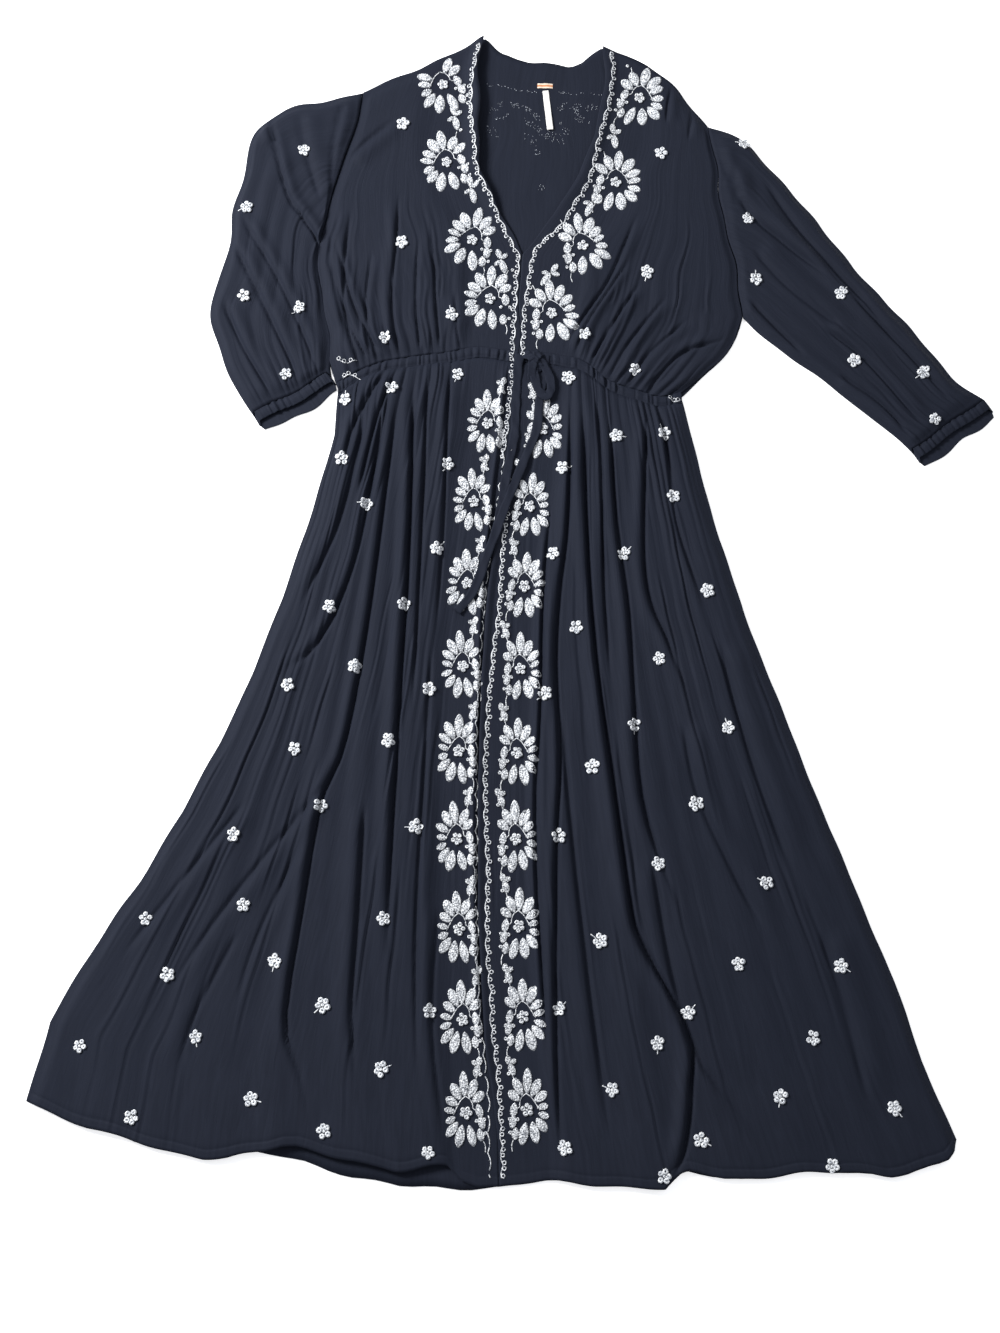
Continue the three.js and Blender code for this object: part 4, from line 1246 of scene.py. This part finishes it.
for side, sign in outward.items():
    for kind, count in flower_counts.items():
        for number in range(1, count + 1):
            node = f"flower_{kind}_{side}_{number}"
            low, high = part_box(node)
            middle = np.array([(low.x + high.x) / 2, (low.y + high.y) / 2])
            draw = np.random.default_rng(100 + number + 20 * (kind == "skirt") + 50 * sign)
            lean = math.radians(bodice_lean[side][number - 1] if kind == "bodice" else draw.uniform(-4, 4))
            turned = np.array([[math.cos(lean), math.sin(lean)], [-math.sin(lean), math.cos(lean)]])
            shape = np.array(flower_shape[kind]) * (sign, 1) / 1000
            spread = 0.5 * (flower_shape[kind][0] + flower_shape[kind][1])

            def sewn_at(*xy):
                """A place in the flower, on the dress."""
                return middle + (np.array(xy) * shape) @ turned

            bag = new_bag()
            for base_x, base_y, tip_x, tip_y, width in petals:
                nudge = draw.uniform(-1.3, 1.3, 2)
                wide = width * draw.uniform(0.94, 1.06) / 1000 * spread
                add_petal(bag, sewn_at(base_x, base_y), sewn_at(tip_x + nudge[0], tip_y + nudge[1]), wide)
            for base_x, base_y, tip_x, tip_y, width in vine_leaves[: 3 if kind == "bodice" else None]:
                if sewn_clear(sewn_at(tip_x, tip_y)) or kind == "skirt":
                    wide = spread * width / 1000
                    add_petal(bag, sewn_at(base_x, base_y), sewn_at(tip_x, tip_y), wide)
            if kind == "bodice" and number <= len(sprigs[side]):
                add_sprig(bag, *seen(sprigs[side][number - 1], front_rest))
            for place in vine_loops:
                if sewn_clear(sewn_at(*place)):
                    add_loop(bag, sewn_at(*place), 0.0013, 0.0002, 0.0008, 7)
            add_floret(bag, sewn_at(0.4, -2.0), eye_floret, draw.uniform(0, 1.2))
            for line in stitch_lines:
                stitched = rounded([sewn_at(*p) for p in line], 14)
                if all(on_cloth(*p) is not None for p in stitched[::4]) and sewn_clear(stitched[0]):
                    add_tube(bag, stitched, 0, thread_line)
            lay_thread(f"embroidered_{node}", bag, white_thread, node)

# Borders: a scalloped line of chain stitch with small curled loops, along the neck and down both
# sides of the front opening, on the flowers' side of a plain strip.
border_scallop, border_loop_pitch, border_loop = 0.0188, 0.0066, 0.0018
scallop_depth, border_thread = 0.0027, 0.00062
border_margin, furthest_in, inward_step = 0.0012, 0.010, 0.0005
border_pitch, border_end = 0.0018, 0.002
borders = {
    "right": [
        (480, 46), (475, 64), (471, 83), (470, 110), (473, 140), (480, 167), (487, 190), (496, 211),
        (505, 233), (513, 247), (518, 259), (516, 275), (515, 295), (514, 316), (512, 350), (512, 375),
        (510, 392), (508, 412), (506, 430), (503, 450), (500, 475), (496, 500), (491, 540), (486, 572),
        (483, 601), (480, 640), (476, 690), (475, 740), (475, 800), (475, 861), (474, 894), (476, 930),
        (475, 964), (477, 992), (479, 1021), (482, 1047), (484, 1073), (487, 1100), (487, 1140), (488, 1162),
        (489, 1178),
    ],
    "left": [
        (611, 52), (614, 69), (612, 87), (609, 108), (603, 128), (598, 147), (594, 167), (589, 183),
        (582, 195), (573, 208), (564, 224), (551, 236), (538, 248), (533, 260), (530, 277), (528, 293),
        (525, 311), (523, 350), (521, 380), (518, 410), (516, 430), (513, 455), (510, 490), (507, 515),
        (505, 535), (503, 555), (501, 590), (499, 618), (495, 645), (493, 668), (490, 693), (488, 728),
        (486, 760), (486, 794), (487, 832), (489, 870), (488, 897), (488, 930), (489, 964), (492, 990),
        (493, 1025), (496, 1050), (499, 1075), (501, 1110), (503, 1140), (504, 1178),
    ],
}
# Where the borders are turned under, only their scallops show, and none of the left one at the knot.
turned_rows = {"right": (460, 1200), "left": (356, 500)}
under_knot = seen([(525, 356), (525, 424)])[:, 1]
for side, sign in outward.items():
    bag = new_bag()
    line = rounded(seen(borders[side], 0.003), 900)
    length = line_length(line)
    line = even(line, np.linspace(0, 1, round(length / border_pitch)))
    run = np.gradient(line, axis=0)
    run /= np.linalg.norm(run, axis=1)[:, None]
    flower_side = sign * np.stack([-run[:, 1], run[:, 0]], axis=1)
    along = np.linspace(0, length, len(line))
    wave = scallop_depth * np.abs(np.sin(np.pi * along / border_scallop)) ** 0.8
    # At the neck the border keeps clear of the rolled edge.
    inward = np.zeros((len(line), 1))
    for i in np.flatnonzero(line[:, 1] > at("chest")[1]):
        for shift in np.arange(0, furthest_in, inward_step):
            if on_cloth(*(line[i] + flower_side[i] * (shift - scallop_depth - border_margin))) is not None:
                inward[i] = shift
                break
    inward = np.max([np.roll(inward, step, 0) for step in range(-4, 5)], axis=0)
    line = line + flower_side * softened(inward, 6)
    scallops = line - flower_side * wave[:, None]
    upper, lower = seen([(500, row) for row in turned_rows[side]])[:, 1]
    turned_under = (line[:, 1] < upper) & (line[:, 1] > lower)
    shown = ~turned_under | (wave > 0.12 * scallop_depth)
    if side == "left":
        shown &= (line[:, 1] > under_knot[0]) | (line[:, 1] < under_knot[1])
    for stretch_shown in np.split(np.arange(len(line)), np.flatnonzero(np.diff(shown)) + 1):
        if shown[stretch_shown[0]] and len(stretch_shown) > 2:
            add_tube(bag, scallops[stretch_shown], 0, border_thread)
    for place in np.arange(border_end, length - border_end, border_loop_pitch):
        i = int(np.searchsorted(along, place))
        if turned_under[i]:
            continue
        centre = scallops[i] + flower_side[i] * (border_loop + 0.0002)
        if on_cloth(*centre) is not None:
            add_loop(bag, centre, border_loop, 0, border_thread, 8)
    lay_thread(f"embroidered_border_{side}", bag, white_thread)

# Scattered florets: small flowers of five loops in a brighter cotton, some with a short stalk, sewn here
# and there on the fronts and sleeves.
floret_size, stalk_thread = 0.0080, 0.0006
florets = [
    (403, 124), (304, 151), (661, 153), (247, 208), (748, 219), (402, 242), (647, 272), (756, 280),
    (840, 295), (244, 297), (300, 309), (452, 315), (585, 335), (385, 338), (854, 361), (635, 370),
    (923, 373), (458, 374), (286, 375), (568, 377), (392, 388), (345, 399), (934, 420), (664, 434),
    (616, 436), (342, 460), (448, 464), (562, 468), (673, 497), (367, 505), (437, 549), (553, 554),
    (624, 554), (707, 591), (404, 605), (330, 608), (576, 628), (659, 659), (355, 667), (288, 685),
    (429, 689), (545, 694), (728, 728), (389, 741), (295, 749), (592, 767), (696, 804), (321, 806),
    (416, 827), (234, 835), (559, 836), (658, 864), (766, 883), (244, 905), (146, 919), (384, 919),
    (600, 941), (275, 961), (738, 964), (840, 966), (168, 975), (323, 1005), (559, 1009), (430, 1011),
    (688, 1013), (196, 1037), (813, 1038), (657, 1043), (80, 1046), (381, 1069), (612, 1090), (780, 1096),
    (251, 1099), (894, 1108), (132, 1117), (324, 1131), (701, 1140), (565, 1148), (428, 1152), (664, 1176),
    (744, 144), (634, 725), (832, 1166),
]
# Each cotton's second colour is its painted shade.
bright_thread = cotton("bright_white_embroidery_cotton", "#eceeef", "#868b94")
draw = np.random.default_rng(7)
bags = {"right": new_bag(), "left": new_bag()}
for place in seen(florets, 0.006):
    side = "right" if place[0] < waist_middle[0] else "left"
    way = draw.uniform(0, 2 * np.pi)
    size = floret_size * draw.uniform(0.92, 1.08)
    add_floret(bags[side], place, size, way)
    if draw.uniform() < 0.5 and on_cloth(*place) is not None:
        tail = np.linspace(0.6, 1.35, 6)[:, None] * size
        add_tube(bags[side], place + tail * np.array([np.cos(way + 0.6), np.sin(way + 0.6)]), 0, stalk_thread)
for side, bag in bags.items():
    lay_thread(f"scattered_florets_{side}", bag, bright_thread)

# Back of the embroidery: inside the neck, the wrong side of the cotton stitches shows on the back bodice as
# rows of small grey specks, with a dotted leaf or floret here and there.
# Each cotton's second colour is its painted shade.
grey_thread = cotton("grey_reverse_stitches", "#ccd2db", "#2f343f")
speck_pitch, speck_stray, speck_lift, leaf_specks = 0.0018, 0.0007, 0.0001, 17
speck_rows = [
    [(487, 85), (505, 87), (522, 91), (540, 92)],
    [(556, 92), (572, 94), (588, 93), (601, 95)],
]
reverse_leaves = [
    ((489, 113), (503, 102), 7), ((494, 121), (509, 114), 6), ((487, 126), (499, 138), 9),
    ((509, 103), (521, 107), 6), ((521, 104), (531, 112), 6), ((524, 117), (535, 129), 7),
    ((530, 112), (542, 121), 6), ((524, 132), (536, 146), 9), ((537, 126), (546, 139), 7),
    ((557, 111), (567, 103), 6), ((569, 109), (583, 104), 7), ((583, 110), (598, 106), 8),
    ((574, 118), (592, 122), 8), ((560, 122), (569, 135), 8), ((551, 128), (563, 146), 9),
    ((545, 128), (553, 142), 7),
]
reverse_florets = [(537, 152), (541, 187), (577, 112)]
draw = np.random.default_rng(19)
bag = new_bag(back_level)
lines = [rounded(seen(row, back_level), 60) for row in speck_rows]
for base, tip, width in reverse_leaves:
    base, tip = seen([base, tip], back_level)
    inner, turn = np.sqrt(draw.uniform(size=leaf_specks)), draw.uniform(0, 2 * np.pi, leaf_specks)
    places = petal_outline(base, tip, 1.2 * width / 1000, inner, turn)
    add_links(bag, places, speck_lift, 0.4)
for centre in seen(reverse_florets, back_level):
    turn = np.linspace(0, 4 * np.pi, 30)[:, None]
    lines.append(centre + (0.0022 + 0.0001 * turn) * np.hstack([np.cos(turn), np.sin(turn)]))
for line in lines:
    places = even(line, np.linspace(0, 1, max(3, round(line_length(line) / speck_pitch))))
    places = places + draw.normal(0, speck_stray, places.shape)
    kept = draw.uniform(size=len(places)) < 0.6
    if kept.sum() > 2:
        add_links(bag, places[kept], speck_lift, 0.42)
lay_thread("reverse_stitches", bag, grey_thread)

# Side stitches: the ends of a looped border that runs round the back. They are sewn in a thinner cotton
# and come out at the side seams.
side_thread, side_loop = 0.7 * border_thread, 0.0019
side_borders = {
    "right": [[(337, 360), (346, 364), (357, 361)], [(343, 378), (350, 375), (361, 380)]],
    "left": [[(669, 398), (675, 402), (681, 400)]],
}
for side, lines in side_borders.items():
    bag = new_bag()
    for path in lines:
        line = rounded(seen(path), 20)
        if all(on_cloth(*p) is not None for p in line[::4]):
            add_tube(bag, line, 0, side_thread)
            for place in line[2::6]:
                add_loop(bag, place + (0, side_loop), side_loop, 0, side_thread, 8)
    if bag["count"]:
        lay_thread(f"side_stitches_{side}", bag, white_thread)

# Labels: a short woven label, cream with a copper band along its middle, sewn down at both ends, and a white
# satin tape, sewn by its upper end, inside the back of the neck. Both are bare.
label_wall, label_lift = 0.0006, 0.0008


def fabric_label(name, light, band, rib, rough):
    """A bare woven label: fine ribs across it, and a band of another colour along its middle."""
    material, tree, shader = new_material(name)
    uv = add_node(tree, "ShaderNodeUVMap", uv_map="cloth").outputs["UV"]
    split = add_node(tree, "ShaderNodeSeparateXYZ", {"Vector": uv})
    middle = add_node(tree, "ShaderNodeMath", {0: split.outputs["Y"], 1: 0.5}, operation="SUBTRACT")
    offset = add_node(tree, "ShaderNodeMath", {0: middle.outputs[0]}, operation="ABSOLUTE")
    off_band = add_node(
        tree, "ShaderNodeMapRange", {"Value": offset.outputs[0], "From Min": 0.12, "From Max": 0.3}
    )
    colour = add_node(
        tree,
        "ShaderNodeMix",
        {"Factor": off_band.outputs["Result"], "A": linear(band), "B": linear(light)},
        data_type="RGBA",
    )
    ribs = add_node(
        tree,
        "ShaderNodeTexWave",
        {"Vector": uv, "Scale": rib, "Distortion": 1.5, "Detail": 1},
        bands_direction="X",
    )
    # The ribs darken the colour in their grooves: painted shade.
    rib_groove_shade = add_node(
        tree,
        "ShaderNodeMix",
        {"Factor": 0.22, "A": colour.outputs["Result"], "B": ribs.outputs["Color"]},
        data_type="RGBA",
        blend_type="MULTIPLY",
    )
    relief = {"Height": ribs.outputs["Fac"], "Strength": 0.4, "Distance": 0.0002}
    bump = add_node(tree, "ShaderNodeBump", relief)
    finish = {"Base Color": rib_groove_shade.outputs["Result"], "Normal": bump.outputs[0], "Roughness": rough}
    set_inputs(tree, shader, finish)
    return material


label_finish = {
    "neck_label": ("woven_neck_label", "label_weave", ("damask_label", "#ead9c6", "#c9814f", 9, 0.6)),
    "care_label": ("satin_care_label", "label_tape", ("satin_tape", "#f4f2ee", "#e9e6e0", 16, 0.35)),
}
for node, (name, slot, finish) in label_finish.items():
    loop = outline(node, 1)
    centre = loop.mean(axis=0)
    long_side = np.linalg.svd(loop - centre)[2][0]
    long_side = long_side * np.sign(long_side @ ((1, 0) if slot == "label_weave" else (0, -1)))
    short_side = np.array([-long_side[1], long_side[0]])
    reach = np.abs((loop - centre) @ np.stack([long_side, short_side], axis=1)).max(axis=0)
    along, over = np.linspace(-1, 1, 40), np.linspace(-1, 1, 10)
    x, y = np.meshgrid(along, over)
    plan = centre + (x * reach[0])[..., None] * long_side + (y * reach[1])[..., None] * short_side
    curl = 0.0012 * smoothstep(x, -0.2, 1) if slot == "label_tape" else 0.0003 * (1 - x**2)
    heights = back_level + label_lift + curl + 0.0002 * np.sin(x * 5 + y)
    sewn_end = np.exp(-(((x + 0.94) / 0.03) ** 2))
    if slot == "label_weave":
        sewn_end += np.exp(-(((x - 0.94) / 0.03) ** 2))
    points = np.dstack([plan, heights - 0.0004 * sewn_end])
    label = cloth_mesh(name, points, np.dstack([(x + 1) / 2, (y + 1) / 2]))
    label.data.materials[0] = fabric_label(*finish)
    apply_modifier(label, "SOLIDIFY", thickness=label_wall, offset=-1)
    sew_on(label, slot, node)
